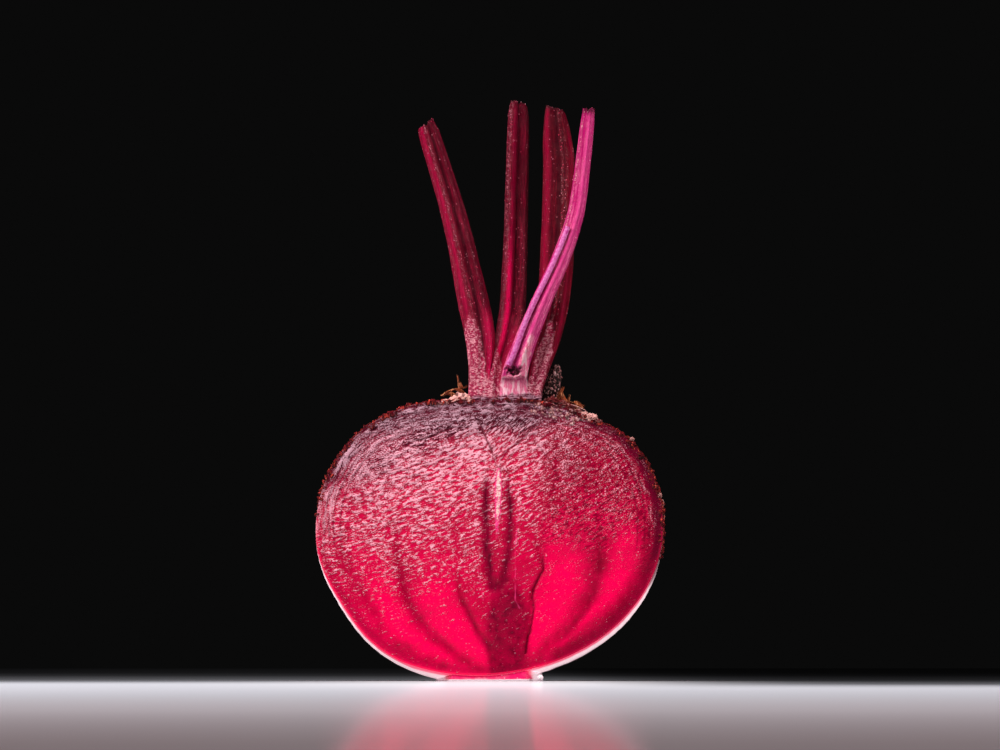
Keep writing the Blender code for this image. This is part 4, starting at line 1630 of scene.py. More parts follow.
        # grey: dry film on the upper left and at the crown, also a painted sheen of light there
        grey = smooth(z - 0.30 * x, 40.0, 64.0) * 0.70 + smooth(z, 51.0, 58.5) * 0.75
        grey = grey * (1.0 - 0.55 * smooth(x, 8.0, 20.0) * smooth(z, 59.0, 52.0))
        grey = np.clip(grey + 0.22 * Grain(38).layered(x / 8.0, z / 5.0, octaves=2), 0.0, 1.0)
        grey = np.maximum(grey, 0.60 * shoulder * smooth(x, 2.0, -8.0) * smooth(z, 36.0, 48.0))
        grey = np.maximum(grey, 0.85 * band)

        rough_share = np.clip(1.8 * pale + 0.1, 0.0, 1.0)
        # where the flesh shows pale specks, as painted glints of wet grains
        specks = 0.03 + 0.16 * smooth(z, 8.0, 24.0) * smooth(x, 6.0, 0.0)
        specks = specks + 0.75 * right_side * smooth(z, 28.0, 42.0) * smooth(edge, 1.5, 4.0)
        specks = specks * (1.0 + 0.8 * Grain(49).layered(x / 4.0, z / 4.0, octaves=2))

        tall = self.wrinkle_height * (crest - 0.5) * (0.12 + 0.88 * rough_share) * (1.0 - 0.35 * right_side)
        tall = (
            tall - 0.50 * marks["groove"] - 0.20 * marks["ring"] + 0.30 * marks["slit"]
            + 0.12 * marks["pale_lines"]
        )
        tall = tall + 0.14 * Grain(45).layered(x / 5.0, z / 4.0, octaves=3) * smooth(z, 10.0, 30.0)
        return {
            "height": tall * smooth(edge, 0.0, 0.7), "crest": crest, "pale": pale,
            "painted_glow": marks["painted_glow"],
            # the upper right side is darkened with the ring colour as well
            "ring": np.maximum(marks["ring"], 0.85 * right_side * smooth(z, 31.0, 46.0)),
            "grey": grey, "fine_share": np.clip(right_side * (1.0 - crown) + 0.85 * upper_left, 0.0, 1.0),
            "along": along, "across": across, "arc": arc, "rim_share": rim_share,
            "slit": np.clip(np.maximum(marks["slit"], 0.55 * marks["pale_lines"]), 0.0, 1.0),
            "dark": marks["dark"], "edge": marks["edge"], "core": marks["core"],
            "specks": np.clip(specks, 0.0, 1.0),
        }

    def skin_shape(self, points: Points, rim: Points) -> tuple[Points, Points, Points, Points]:
        """Adds lumps, furrows and pits to the skin.

        Args:
            points: Places on the smooth skin.
            rim: Distance from the cut rim along the skin.

        Returns:
            The moved places, and the masks of the painted underlit rim, cork and scars.
        """
        x, y, z = points.T
        outward = points - np.array([self.centre[0], 0.0, self.centre[1]])
        outward /= np.maximum(np.linalg.norm(outward, axis=1), 1e-9)[:, None]
        lumps = 0.45 * Grain(51).layered(x / 13.0, y / 13.0, z / 11.0, octaves=3) * smooth(rim, 7.0, 18.0)
        furrows = (
            0.16 * np.abs(Grain(52).at(x / 9.0, y / 9.0, z / 1.7))
            + 0.07 * Grain(53).at(x / 2.4, y / 2.4, z / 0.9)
        )
        upper = smooth(z, 40.0, 55.0)
        knots = 0.35 * upper * np.maximum(Grain(54).layered(x / 3.2, y / 3.2, z / 2.2, octaves=2), 0.0)
        scar = np.zeros_like(x)
        for number in range(self.scars):
            right = 52.0 + 8.0 * math.sin(number * 2.4)
            left = 128.0 + 7.0 * math.cos(number * 1.7)
            gap = np.abs(np.arctan2(y, x) - math.radians(right if number % 2 else left)) * self.scar_radius
            scar = np.maximum(scar, bell(gap, 0.0, 1.5) * bell(z, 6.0 + 3.1 * number, 0.35))
        free = smooth(rim, 0.0, 2.5) * smooth(z, 0.2, 3.0)
        move = (lumps - furrows + knots - 0.45 * scar) * free
        ragged = (
            0.30 * Grain(55).layered(x / 0.9, z / 0.9, y / 0.9, octaves=2) * smooth(z, 34.0, 44.0)
            * smooth(rim, 0.0, 0.6)
        )
        # painted light: the pale band of skin low near the cut rim that the table below lights, and a patch
        # on the right side
        underlit_rim = smooth(rim, 11.0, 4.5) * smooth(z + 0.10 * x, 33.0, 20.0)
        underlit_rim = np.maximum(underlit_rim, 0.50 * bell(z, 33.5, 8.0) * smooth(x, 27.0, 33.0) * smooth(rim, 6.0, 1.0))
        underlit_rim = np.clip(
            underlit_rim * (1.0 + 0.25 * Grain(56).layered(x / 6.0, y / 6.0, z / 6.0, octaves=3)), 0.0, 1.0
        )
        cork = np.clip(
            smooth(z, 26.0, 44.0) * (0.8 + 0.5 * Grain(57).at(x / 5.0, y / 5.0, z / 5.0)), 0.0, 1.0
        )
        return points + outward * (move + ragged)[:, None], underlit_rim, cork, scar

    def build(self, flesh: Material, skin: Material) -> Piece:
        """Makes the closed half root.

        Args:
            flesh: Material of the cut face.
            skin: Material of the skin.

        Returns:
            The piece, with its colour zones stored on it.
        """
        across, up, face_quads, border = self.grid(self.columns, self.rows)
        radius = np.hypot(across, up)
        rim_points = self.cast(self.ways(across[border], up[border], np.ones(len(border))))
        angles = np.arctan2(up, across)
        rim_angles = np.arctan2(up[border], across[border])
        order = np.argsort(rim_angles)
        middle = self.middle
        reach = np.linalg.norm(rim_points - middle, axis=1)
        reach_here = np.interp(angles, rim_angles[order], reach[order], period=TURN)
        way = self.ways(across, up, np.ones(len(across)))
        face = middle + way * (radius * reach_here)[:, None]
        face[border] = rim_points
        edge = (1.0 - radius) * reach_here
        face = self.fit_outline(face, rim_angles[order], reach[order])
        zones = self.relief(face[:, 0], face[:, 2], edge, angles)
        face = face + self.plane.front * zones["height"][:, None]

        points, faces = [face], [list(q) for q in face_quads]
        materials = [np.zeros(len(face_quads), int)]
        skin_share = [np.zeros(len(face))]
        ring = border
        total = len(face)
        for number in range(1, self.rim_rows + 1):
            share = 1.0 - self.rim_step * number
            points.append(self.cast(self.ways(across[border], up[border], np.full(len(border), share))))
            skin_share.append(np.full(len(border), share))
            inner = total + np.arange(len(border))
            quads = np.stack([ring, inner, np.roll(inner, -1), np.roll(ring, -1)], 1)
            faces += quads.tolist()
            materials.append(np.ones(len(quads), int))
            ring = inner
            total += len(border)
        coarse_across, coarse_up, back_quads, back_border = self.grid(self.columns // 2, self.rows // 2)
        last = 1.0 - self.rim_step * (self.rim_rows + 1.6)
        back_radius = np.hypot(coarse_across, coarse_up) * last
        points.append(self.cast(self.ways(coarse_across, coarse_up, back_radius)))
        skin_share.append(back_radius)
        coarse = total + back_border
        fine, odd, after = ring[0::2], ring[1::2], np.roll(ring, -2)[0::2]
        following = np.roll(coarse, -1)
        triangles = np.concatenate([
            np.stack([fine, coarse, odd], 1), np.stack([odd, coarse, following], 1),
            np.stack([odd, following, after], 1),
        ])
        faces += triangles.tolist()
        faces += (total + back_quads[:, ::-1]).tolist()
        materials.append(np.ones(len(triangles) + len(back_quads), int))

        everything = np.concatenate(points)
        share = np.concatenate(skin_share)
        count = len(face)
        rim = (1.0 - share[count:]) * math.pi / 2.0 * self.rim_radius
        fitted = self.fit_outline(everything[count:], rim_angles[order], reach[order])
        shaped, underlit_rim, cork, scar = self.skin_shape(fitted, rim)
        everything[count:] = shaped
        everything[:, 2] = np.maximum(everything[:, 2], 0.0)

        def pad(values: Points) -> Points:
            """Extends face values over the skin corners with zeros."""
            return np.concatenate([values, np.zeros(len(everything) - count)])

        skin_marks = np.zeros((len(everything), 3))
        skin_marks[count:] = np.stack([underlit_rim, cork, scar], 1)
        # the rim's own corners take the painted underlit band too
        skin_marks[border, 0] = smooth(face[border, 2] + 0.10 * face[border, 0], 33.0, 22.0)
        skin_marks[border, 1] = smooth(face[border, 2], 26.0, 44.0)
        zones["rim_gap"] = edge
        triples = {
            "zones": ("painted_glow", "ring", "grey"), "lines": ("slit", "dark", "edge"),
            "relief": ("crest", "pale", "core"), "flow": ("along", "across", "fine_share"),
            "rim_flow": ("arc", "rim_gap", "rim_share"),
        }
        marks = {name: np.stack([pad(zones[key]) for key in keys], 1) for name, keys in triples.items()}
        marks["speck_share"] = pad(zones["specks"])
        marks["skin"] = skin_marks
        # painted glow of light through the skin, strongest right at the cut edge
        marks["blush"] = np.concatenate([np.ones(count), smooth(rim, 2.3, 0.9)])
        marks["granule_density"] = pad(self.granule_density(face, edge, zones))
        flakes = np.zeros(len(everything))
        z = everything[count:, 2]
        flakes[count:] = smooth(rim, 6.0, 1.0) * smooth(z + 0.12 * everything[count:, 0], 27.0, 42.0)
        flakes[:count] = 0.8 * smooth(edge, 0.95, 0.35) * smooth(face[:, 2] + 0.12 * face[:, 0], 30.0, 44.0)
        marks["flake_density"] = flakes
        grit = (
            smooth(everything[:, 0], 7.5, 10.5) * smooth(everything[:, 0], 23.0, 19.0)
            * smooth(everything[:, 2], 53.5, 57.5)
        )
        grit[:count] *= smooth(edge, 4.6, 1.8)
        grit[count:] *= smooth(rim, 9.0, 4.0)
        marks["grit_density"] = grit
        piece = add_piece("half_root", everything, faces, (flesh, skin), np.concatenate(materials), marks)
        self.sharpen(piece, border)
        return piece

    @staticmethod
    def granule_density(face: Points, edge: Points, zones: dict[str, Points]) -> Points:
        """Says where grains of dried juice lie thick.

        Args:
            face: Corner places of the cut face.
            edge: Distance from the rim.
            zones: Values of the cut face by name.

        Returns:
            Shares from 0 to 1.
        """
        x, z = face[:, 0], face[:, 2]
        patches = smooth(Grain(61).layered(x / 4.5, z / 4.0, octaves=2), -0.15, 0.45)
        right = smooth(x, 3.0, 9.0) * smooth(z, 26.0, 38.0) * smooth(z, 58.0, 50.0)
        left = smooth(x, 1.0, -6.0) * smooth(z, 8.0, 14.0) * smooth(z, 40.0, 28.0)
        return (
            (0.02 + 0.55 * patches * np.maximum(right, 0.7 * left)) * smooth(edge, 0.3, 1.5)
            * (1.0 - 0.8 * zones["slit"])
        )

    @staticmethod
    def sharpen(piece: Piece, border: Points) -> None:
        """Keeps the rim between flesh and skin crisp.

        Args:
            piece: The half root.
            border: Corner numbers of the rim.
        """
        mesh = piece.data
        pairs = np.zeros(len(mesh.edges) * 2, np.int32)
        mesh.edges.foreach_get("vertices", pairs)
        on_rim = np.zeros(len(mesh.vertices), bool)
        on_rim[border] = True
        sharp = on_rim[pairs[0::2]] & on_rim[pairs[1::2]]
        layer = mesh.attributes.new("sharp_edge", "BOOLEAN", "EDGE")
        layer.data.foreach_set("value", sharp)


@dataclass
class LeafStalk:
    """One cut leaf stalk, ribbed and channelled, sunk into the crown."""

    name: str
    node: str
    slot: Slot
    stations: tuple[tuple[float, float, float, float, float], ...]
    turn: float
    channel: float
    rib: float
    tip_notch: float
    tip_slope: float
    streaks: tuple[tuple[Streak, float, float, float, float, float], ...]
    seed: int
    sliced_below: float = 999.0
    around: int = 72
    rings: int = 230
    notch: Optional[Place] = None
    pale_rows: tuple[Place, ...] = ()

    def section(self, angle: Points, width: Points, depth: Points) -> tuple[Points, Points]:
        """Shapes the stalk's cross section.

        Args:
            angle: Angle round the stalk.
            width: Full width.
            depth: Full depth.

        Returns:
            Sideways and depth offsets.
        """
        ribs = 1.0 + self.rib * np.cos(8.0 * angle)
        across = 0.5 * width * ribs * np.cos(angle)
        deep = 0.5 * depth * ribs * np.sin(angle)
        hollow = self.channel * depth * np.exp(-((across / (0.19 * width)) ** 2))
        deep = np.where(deep < 0.0, deep + hollow * np.minimum(1.0, -2.0 * deep / depth), deep)
        return across, deep

    def build(self, plane: CutPlane, finish: Material) -> Piece:
        """Makes the stalk.

        Args:
            plane: Plane of the knife.
            finish: Material of the stalk.

        Returns:
            The piece.
        """
        shares = np.concatenate([np.linspace(0.0, 0.93, self.rings - 30), np.linspace(0.93, 1.0, 31)[1:]])
        stations = np.array(self.stations)
        rows = spline(stations, shares)
        steps = spline(stations, shares + 1e-3)[:, :3] - spline(stations, shares - 1e-3)[:, :3]
        slope, sideways, through = frames_along(steps, self.turn)
        angle = np.linspace(0.0, TURN, self.around, endpoint=False)
        angles, _ = np.meshgrid(angle, shares)
        width, depth = rows[:, 3:4], rows[:, 4:5]
        across, deep = self.section(angles, width, depth)
        run = np.concatenate(
            [[0.0], np.cumsum(np.linalg.norm(np.diff(rows[:, :3], axis=0), axis=1))]
        )[:, None]
        grain = Grain(self.seed)
        cosine, sine = np.cos(angles), np.sin(angles)
        fine = (
            grain.at(cosine * 3.2, sine * 3.2, run / 16.0)
            + 0.6 * grain.at(cosine * 7.0, sine * 7.0, run / 9.0)
        )
        lumps = grain.layered(cosine * 1.4, sine * 1.4, run / 5.0, octaves=2)
        swell = 1.0 + 0.030 * fine + 0.020 * lumps
        points = (
            rows[:, None, :3] + sideways[:, None, :] * (across * swell)[..., None]
            + through[:, None, :] * (deep * swell)[..., None]
        )
        tip = np.maximum(0.0, (shares - 0.9) / 0.1)[:, None]
        lift = (
            tip * 1000.0 * (self.tip_notch * (np.abs(2.0 * across / width) - 0.5))
            + tip * self.tip_slope * across
        )
        lift = lift + tip**3 * 0.45 * grain.layered(cosine * 2.6, sine * 2.6, 3.0, octaves=3)
        points = points + slope[:, None, :] * lift[..., None]
        points, caps = self.close(points, slope)
        flat = points.reshape(-1, 3)
        flat = np.concatenate([flat, caps])
        ahead = plane.ahead(flat)
        torn = 0.5 * Grain(self.seed + 9).layered(flat[:, 0] / 0.9, flat[:, 2] / 2.0, octaves=2)
        sliced = (ahead > 0.0) & (flat[:, 2] + torn < self.sliced_below)
        shift = np.where(sliced, ahead, 0.0)
        rough = 0.05 * Grain(self.seed + 7).layered(flat[:, 0] / 0.5, flat[:, 2] / 0.7, octaves=2)
        sunk = np.where(sliced, 0.9 * smooth(flat[:, 2], 60.5, 59.7), 0.0)
        flat = flat - plane.front * (shift + sunk - np.where(sliced, rough, 0.0))[:, None]
        cut = np.maximum(
            smooth(shift, 0.02, 0.12) * smooth(flat[:, 2], 66.0, 63.0),
            self.pale_part(flat, centres=rows[:, :3])
        )
        if self.notch:
            gap = np.sqrt((((flat - np.array(self.notch)) / np.array([2.1, 1.9, 1.15])) ** 2).sum(1))
            pit = smooth(
                gap + 0.5 * Grain(self.seed + 5).layered(flat[:, 0] / 0.7, flat[:, 2] / 0.7, octaves=2), 1.05,
                0.6
            )
            flat = flat - plane.front * (1.2 * pit)[:, None]
        else:
            pit = np.zeros(len(flat))
        marks = self.marks(angles, across, width, shares, run, cut, pit, len(points) * self.around)
        return add_piece(self.name, flat, tube_faces(len(points), self.around), (finish,), None, marks)

    def pale_part(self, flat: Points, centres: Points) -> Points:
        """Marks the sliced, netted part at the foot of the stalk.

        Args:
            flat: Corner places.
            centres: Middle line of the stalk.

        Returns:
            Share of sliced tissue on every corner.
        """
        if not self.pale_rows:
            return np.zeros(len(flat))
        heights, left, right = np.array(self.pale_rows).T
        x = flat[:, 0] + 0.45 * Grain(self.seed + 11).layered(flat[:, 0] / 0.8, flat[:, 2] / 1.4, octaves=3)
        z = flat[:, 2]
        inside = (
            smooth(x - np.interp(z, heights, left), -0.25, 0.25)
            * smooth(np.interp(z, heights, right) - x, -0.25, 0.25)
        )
        middle = np.interp(z, centres[:, 2], centres[:, 1])
        return (
            inside * smooth(flat[:, 1] - middle, 0.6, -0.4) * smooth(z, heights[-1] + 0.6, heights[-1] - 0.6)
        )

    def close(self, points: Points, slope: Points) -> tuple[Points, Points]:
        """Adds the hollow cut end and the two closing points.

        Args:
            points: Rings of corner places.
            slope: Direction of the stalk at each ring.

        Returns:
            The rings with the cut end added, and the two closing points.
        """
        top = points[-1]
        centre = top.mean(0)
        extra = []
        for scale, drop in ((0.93, -0.05), (0.80, 0.35), (0.55, 0.75), (0.28, 1.0)):
            extra.append(centre + (top - centre) * scale - slope[-1] * drop)
        bottom = points[0].mean(0)
        hub = centre - slope[-1] * 1.15
        return np.concatenate([points, np.array(extra)]), np.array([bottom, hub])

    def marks(
        self, angles: Points, across: Points, width: Points, shares: Points, run: Points, cut: Points,
        pit: Points,
        ring_corners: int,
    ) -> dict[str, Points]:
        """Works out streaks, the sliced foot and the dried tip.

        Args:
            angles: Angle of each corner.
            across: Sideways offset of each corner.
            width: Width of each ring.
            shares: Share of the length at each ring.
            run: Length up to each ring.
            cut: Mask of the sliced foot on every corner.
            pit: Mask of the dark notch on every corner.
            ring_corners: Number of corners in the rings.

        Returns:
            Values by name for the whole piece.
        """
        side = across / (0.5 * width)
        front = smooth(-np.sin(angles), -0.25, 0.15)
        layers = [np.zeros_like(across) for _ in Streak]
        breaks = Grain(self.seed + 3)
        for kind, place, half, start, end, strength in self.streaks:
            wander = 0.12 * breaks.at(run / 14.0, place * 7.0)
            along = smooth(shares, start - 0.05, start + 0.05) * smooth(shares, end + 0.05, end - 0.05)
            value = strength * bell(side + wander, place, half) * along[:, None] * front
            layers[kind.value] = np.maximum(layers[kind.value], value)
        dry = (
            smooth(shares, 0.955, 0.995)[:, None]
            * (0.8 + 0.4 * breaks.at(np.cos(angles) * 2, np.sin(angles) * 2, run / 2.0))
        )
        rest = ring_corners + 2 - across.size

        def spread(values: Points, last: float) -> Points:
            """Extends ring values over the cut end and the closing points."""
            return np.concatenate([np.broadcast_to(values, across.shape).ravel(), np.full(rest, last)])

        round_x, round_y = np.cos(angles) * width * 0.5, np.sin(angles) * width * 0.5
        grain = np.stack([spread(round_x, 0.0), spread(round_y, 0.0), spread(run, float(run[-1, 0]))], 1)
        dark = np.clip(spread(layers[1], 0.6), 0.0, 1.0)
        dry = np.clip(dry, 0.0, 1.0)
        dried = np.maximum(spread(dry, 0.9), pit)
        return {
            "streaks": np.stack([spread(layers[0], 0.1), dark, spread(layers[2], 0.0)], 1),
            "ends": np.stack(
                [cut * (1.0 - pit), dried, spread(0.75 * smooth(shares, 0.40, 1.0)[:, None], 0.6)], 1
            ),
            "grain": grain,
            "granule_density": np.clip(
                0.04 + 0.8 * spread(layers[0], 0.3) + 0.6 * spread(dry, 0.5), 0.0, 1.0
            ),
        }


@dataclass
class WitheredStub:
    """Shrunken black stub of a dead stalk."""

    base: Place = (12.1, 0.6, 57.6)
    height: float = 10.4
    lean: float = 2.5
    low_radius: float = 2.8
    high_radius: float = 0.80
    seed: int = 71

    def build(self, finish: Material) -> Piece:
        """Makes the stub.

        Args:
            finish: Bark material.

        Returns:
            The piece.
        """
        around, rings = 48, 90
        share = np.linspace(0.0, 1.0, rings)[:, None]
        angle = np.linspace(0.0, TURN, around, endpoint=False)[None, :]
        grain = Grain(self.seed)
        radius = self.low_radius + (self.high_radius - self.low_radius) * share
        folds = (
            0.34 * grain.layered(np.cos(angle) * 1.8, np.sin(angle) * 1.8, share * 4.5, octaves=4, gain=0.7)
        )
        creases = 0.14 * np.abs(grain.at(np.cos(angle) * 1.5, np.sin(angle) * 1.5, share * 16.0))
        radius = radius * (1.0 + folds - creases)
        radius = radius * (1.0 - 0.35 * smooth(share, 0.93, 1.0))
        x = self.base[0] + self.lean * share**0.8 + radius * np.cos(angle)
        y = self.base[1] + radius * np.sin(angle)
        z = (
            self.base[2] + self.height * share
            + 0.5 * smooth(share, 0.8, 1.0) * grain.at(np.cos(angle) * 2.0, np.sin(angle) * 2.0, 5.0)
        )
        points = np.stack(np.broadcast_arrays(x, y, z), -1).reshape(-1, 3)
        caps = np.array([points[:around].mean(0), points[-around:].mean(0) - (0, 0, 0.5)])
        faces = tube_faces(rings, around)
        tone = np.concatenate([(0.5 + 0.5 * grain.at(x * 2, y * 2, z / 2)).ravel(), [0.3, 0.2]])
        return add_piece(
            "withered_stalk", np.concatenate([points, caps]), faces, (finish,), None,
            {"tone": tone, "granule_density": 0.35 + 0.5 * tone}
        )


@dataclass
class PaperStrip:
    """One curled dry strip of an old leaf base."""

    path: tuple[Place, ...]
    base_width: float
    tip_width: float
    turn: float
    curl: float
    seed: int
    thick: float = 0.16


@dataclass
class DryScales:
    """A tuft of torn papery scales at the edge of the crown."""

    name: str
    strips: tuple[PaperStrip, ...]
    pad_centre: Place
    pad_radii: Place

    def strip_mesh(self, strip: PaperStrip) -> tuple[Points, Faces, Points]:
        """Makes one strip with torn edges and its own thickness.

        Args:
            strip: Sizes of the strip.

        Returns:
            Corner places, faces and tone values.
        """
        rows, columns = 36, 14
        share = np.linspace(0.0, 1.0, rows)
        spine = spline(np.array(strip.path), share)
        slope, side, face = frames_along(np.gradient(spine, axis=0), strip.turn, rise=0.15)
        grain = Grain(strip.seed)
        width = strip.base_width + (strip.tip_width - strip.base_width) * share
        width = width * (1.0 + 0.22 * grain.layered(share * 7.0, 0.0, octaves=3))
        across = np.linspace(-1.0, 1.0, columns)[None, :]
        bend = strip.curl * share[:, None] * 0.9 + 0.25
        out = 0.5 * width[:, None] * np.sin(across * (0.5 + bend)) / (0.5 + bend)
        lift = 0.5 * width[:, None] * (1.0 - np.cos(across * (0.5 + bend))) / (0.5 + bend)
        lift = lift + 0.14 * grain.layered(across * 1.8, share[:, None] * 6.0, octaves=3)
        torn = smooth(share, 0.82, 1.0)[:, None] * 0.9 * grain.layered(across * 2.6, 8.0, octaves=3)
        middle = (
            spine[:, None, :] + side[:, None, :] * out[..., None] + face[:, None, :] * lift[..., None]
            + slope[:, None, :] * torn[..., None]
        )
        half = strip.thick * (1.0 - 0.45 * np.abs(across)) * (1.0 - 0.4 * share[:, None])
        top = (middle + face[:, None, :] * half[..., None] * 0.5).reshape(-1, 3)
        under = (middle - face[:, None, :] * half[..., None] * 0.5).reshape(-1, 3)
        quads, border = sheet_faces(rows, columns)
        after = np.roll(border, -1)
        count = rows * columns
        faces = quads[:, ::-1].tolist() + (quads + count).tolist()
        faces += np.stack([border, after, after + count, border + count], 1).tolist()
        tone = 0.5 + 0.5 * grain.layered(across * 2.0, share[:, None] * 4.0, octaves=2)
        return np.concatenate([top, under]), faces, np.tile(tone.ravel(), 2)

    def pad_mesh(self) -> tuple[Points, Faces, Points]:
        """Makes the lumpy pad that the strips grow from.

        Returns:
            Corner places, faces and tone values.
        """
        way, faces = ball(40, 22)
        grain = Grain(len(self.name) + 83)
        bumps = 1.0 + 0.22 * grain.layered(*(way.T * 2.4), octaves=3, gain=0.6)
        return (
            np.array(self.pad_centre) + way * np.array(self.pad_radii) * bumps[:, None], faces,
            np.full(len(way), 0.15)
        )

    def build(self, finish: Material) -> Piece:
        """Joins the strips and the pad.

        Args:
            finish: Papery material.

        Returns:
            The piece.
        """
        return join_parts(self.name, [self.strip_mesh(s) for s in self.strips] + [self.pad_mesh()], finish)


@dataclass
class WetFoot:
    """Thin rim of juice and flattened skin that the root stands on, with one bead, coloured with painted
    light: a glow of the lit table through the juice, and a painted highlight on the bead.
    """

    half_width: float = 11.4
    half_depth: float = 9.5
    front_y: float = -9.6
    tallest: float = 2.3
    bead: Place = (11.0, -9.5, 0.72)
    bead_radius: float = 0.62

    def build(self, root: HalfRoot, finish: Material) -> Piece:
        """Makes the foot.

        Args:
            root: Root whose underside it meets.
            finish: Glossy material.

        Returns:
            The piece.
        """
        around = 220
        angle = np.linspace(0.0, TURN, around, endpoint=False)
        grain = Grain(91)
        wander = 1.0 + 0.012 * grain.layered(np.cos(angle) * 4.0, np.sin(angle) * 4.0, octaves=3)
        x = self.half_width * wander * np.cos(angle)
        y = np.maximum(1.4 * self.half_depth * wander * np.sin(angle), self.front_y)
        front = smooth(y, self.front_y + 1.5, self.front_y + 0.2)
        top = np.clip(root.underside(x * 0.985, y * 0.985) + 0.12 + 0.28 * front, 0.3, self.tallest)
        rings = []
        away = np.hypot(x, y)
        for share, out in ((0.0, 0.16), (0.08, 0.20), (0.25, 0.16), (0.6, 0.06), (0.9, 0.0), (1.0, -0.25)):
            rings.append(np.stack([x * (1 + out / away), y * (1 + out / away), top * share], 1))
        rings.append(np.stack([x * 0.5, y * 0.5, top * 0.8], 1))
        points = np.concatenate(rings)
        foot = np.concatenate([points, [[0.0, 0.0, 0.0], [0.0, 0.0, 1.0]]])
        # tone, pale towards both ends and along the bottom, is a painted glow of table light, whitest where
        # the foot meets the table
        tone = np.maximum(smooth(np.abs(foot[:, 0]), 8.2, 10.8), smooth(foot[:, 2], 0.50, 0.12))
        way, sides = ball(24, 12)
        # the bead is fully pale: a painted highlight
        bead = (np.array(self.bead) + self.bead_radius * way, sides, np.full(len(way), 1.2))
        return join_parts("wet_foot", [(foot, tube_faces(len(rings), around), tone), bead], finish)


@dataclass
class Studio:
    """Floor, light, background and camera."""

    camera_place: Place = (0.0024, -1.135, 0.004)
    camera_rise: float = 0.05437
    lens: float = 190.0
    background: Colour = (0.003, 0.003, 0.003)
    # halo: a painted pool of light on the table beside the foot; sheen is the table's real gloss
    halo: float = 0.55
    sheen: float = 0.38
    sheen_roughness: float = 0.05
    halo_width: float = 0.035
    halo_tint: Colour = (0.98, 0.92, 0.96)
    shadow_edge: float = 0.018
    shadow_fade: float = 0.02
    shadow_depth: float = 0.86
    shadow_floor: float = 0.14
    near: float = -1.3
    far: float = 2.3
    half_width: float = 2.2
    aim: Place = (0.0, 0.0, 0.045)
    lights: tuple[tuple[str, Place, float, float, bool], ...] = (
        ("key", (-0.75, -0.30, 0.50), 0.40, 8.0, False), ("top", (0.0, -0.28, 0.85), 0.45, 6.5, False),
        ("fill", (0.80, -0.35, 0.25), 0.40, 4.5, False), ("spark", (-0.45, -0.45, 0.70), 0.12, 1.2, True),
        ("rim_left", (-0.55, 0.45, 0.28), 0.35, 2.2, False),
        ("rim_right", (0.55, 0.45, 0.28), 0.35, 2.2, False),
    )
    # Depth, brightness and warmth of the table top: painted light, darker nearest the camera, brightest in
    # front of the root, darkening towards it and near black behind it, pinker towards the camera.
    floor_shades: tuple[Place, ...] = (
        (-1.3, 0.30, 1.0), (-0.87, 0.50, 0.88), (-0.70, 0.65, 0.5), (-0.50, 0.62, 0.1), (-0.18, 0.66, 0.0),
        (-0.105, 0.50, 0.0), (-0.052, 0.285, 0.0), (0.006, 0.155, 0.0), (0.10, 0.08, 0.0), (0.45, 0.026, 0.0),
        (0.88, 0.026, 0.0), (2.3, 0.12, 0.0),
    )

    def camera(self) -> None:
        """Makes the camera low at the table's edge."""
        data = bpy.data.cameras.new("camera")
        data.lens = self.lens
        data.sensor_width = 36.0
        data.clip_start = 0.01
        camera = place_object("camera", data)
        camera.location = self.camera_place
        camera.rotation_euler = (math.pi / 2.0 + self.camera_rise, 0.0, 0.0)
        bpy.context.scene.camera = camera

    def floor(self) -> None:
        """Makes the pale luminous table top, whose light is painted: a brightness that changes with depth, a
        painted halo of light beside the foot and a painted shadow to the right.
        """
        near, far, half = self.near, self.far, self.half_width
        mesh = bpy.data.meshes.new("table_top")
        corners = [(-half, near, 0.0), (half, near, 0.0), (half, far, 0.0), (-half, far, 0.0)]
        mesh.from_pydata(corners, [], [(0, 1, 2, 3)])
        floor = place_object("table_top", mesh)
        material = bpy.data.materials.new("pale_table")
        material.use_nodes = True
        material.node_tree.nodes.clear()
        w = Wiring(material.node_tree)
        across, depth, _ = w.node("ShaderNodeSeparateXYZ", {0: w.place()}).outputs
        ramp = w.node("ShaderNodeValToRGB", {0: w.math("DIVIDE", w.minus(depth, near), far - near)})
        stops = ramp.color_ramp.elements
        for number, (place, value, warmth) in enumerate(self.floor_shades):
            if number == 0:
                stop = stops[0]
            elif number == len(self.floor_shades) - 1:
                stop = stops[len(stops) - 1]
            else:
                stop = stops.new((place - near) / (far - near))
            stop.color = (value, value * (0.985 - 0.21 * warmth), value * (1.08 - 0.27 * warmth), 1.0)
        beside = w.node(
            "ShaderNodeMath",
            {0: w.times(w.math("POWER", w.math("DIVIDE", across, self.halo_width), 2.0), -1.0)},
            operation="EXPONENT"
        )
        # painted pool of light on the table beside the root's foot
        halo = w.times(beside.outputs[0], w.times(w.ease(depth, -0.006, -0.014), w.ease(depth, -0.42, -0.12)))
        # painted shadow on the table to the right of the root
        right = w.math("DIVIDE", w.math("MAXIMUM", w.minus(across, self.shadow_edge), 0.0), -self.shadow_fade)
        dim = w.times(
            w.node("ShaderNodeMath", {0: right}, operation="EXPONENT").outputs[0], self.shadow_depth
        )
        dim = w.blend(w.ease(depth, -0.34, -0.14), 1.0, w.plus(dim, self.shadow_floor))
        shade = w.mix(dim, BLACK, ramp.outputs[0])
        pale = w.mix(w.times(halo, self.halo), shade, self.halo_tint)
        diffuse = w.node("ShaderNodeBsdfDiffuse", {"Color": pale})
        gloss = w.node("ShaderNodeBsdfGlossy", {"Color": (1.0, 1.0, 1.0), "Roughness": self.sheen_roughness})
        surface = w.node("ShaderNodeMixShader", {0: self.sheen, 1: diffuse.outputs[0], 2: gloss.outputs[0]})
        w.node("ShaderNodeOutputMaterial", {"Surface": surface.outputs[0]})
        mesh.materials.append(material)

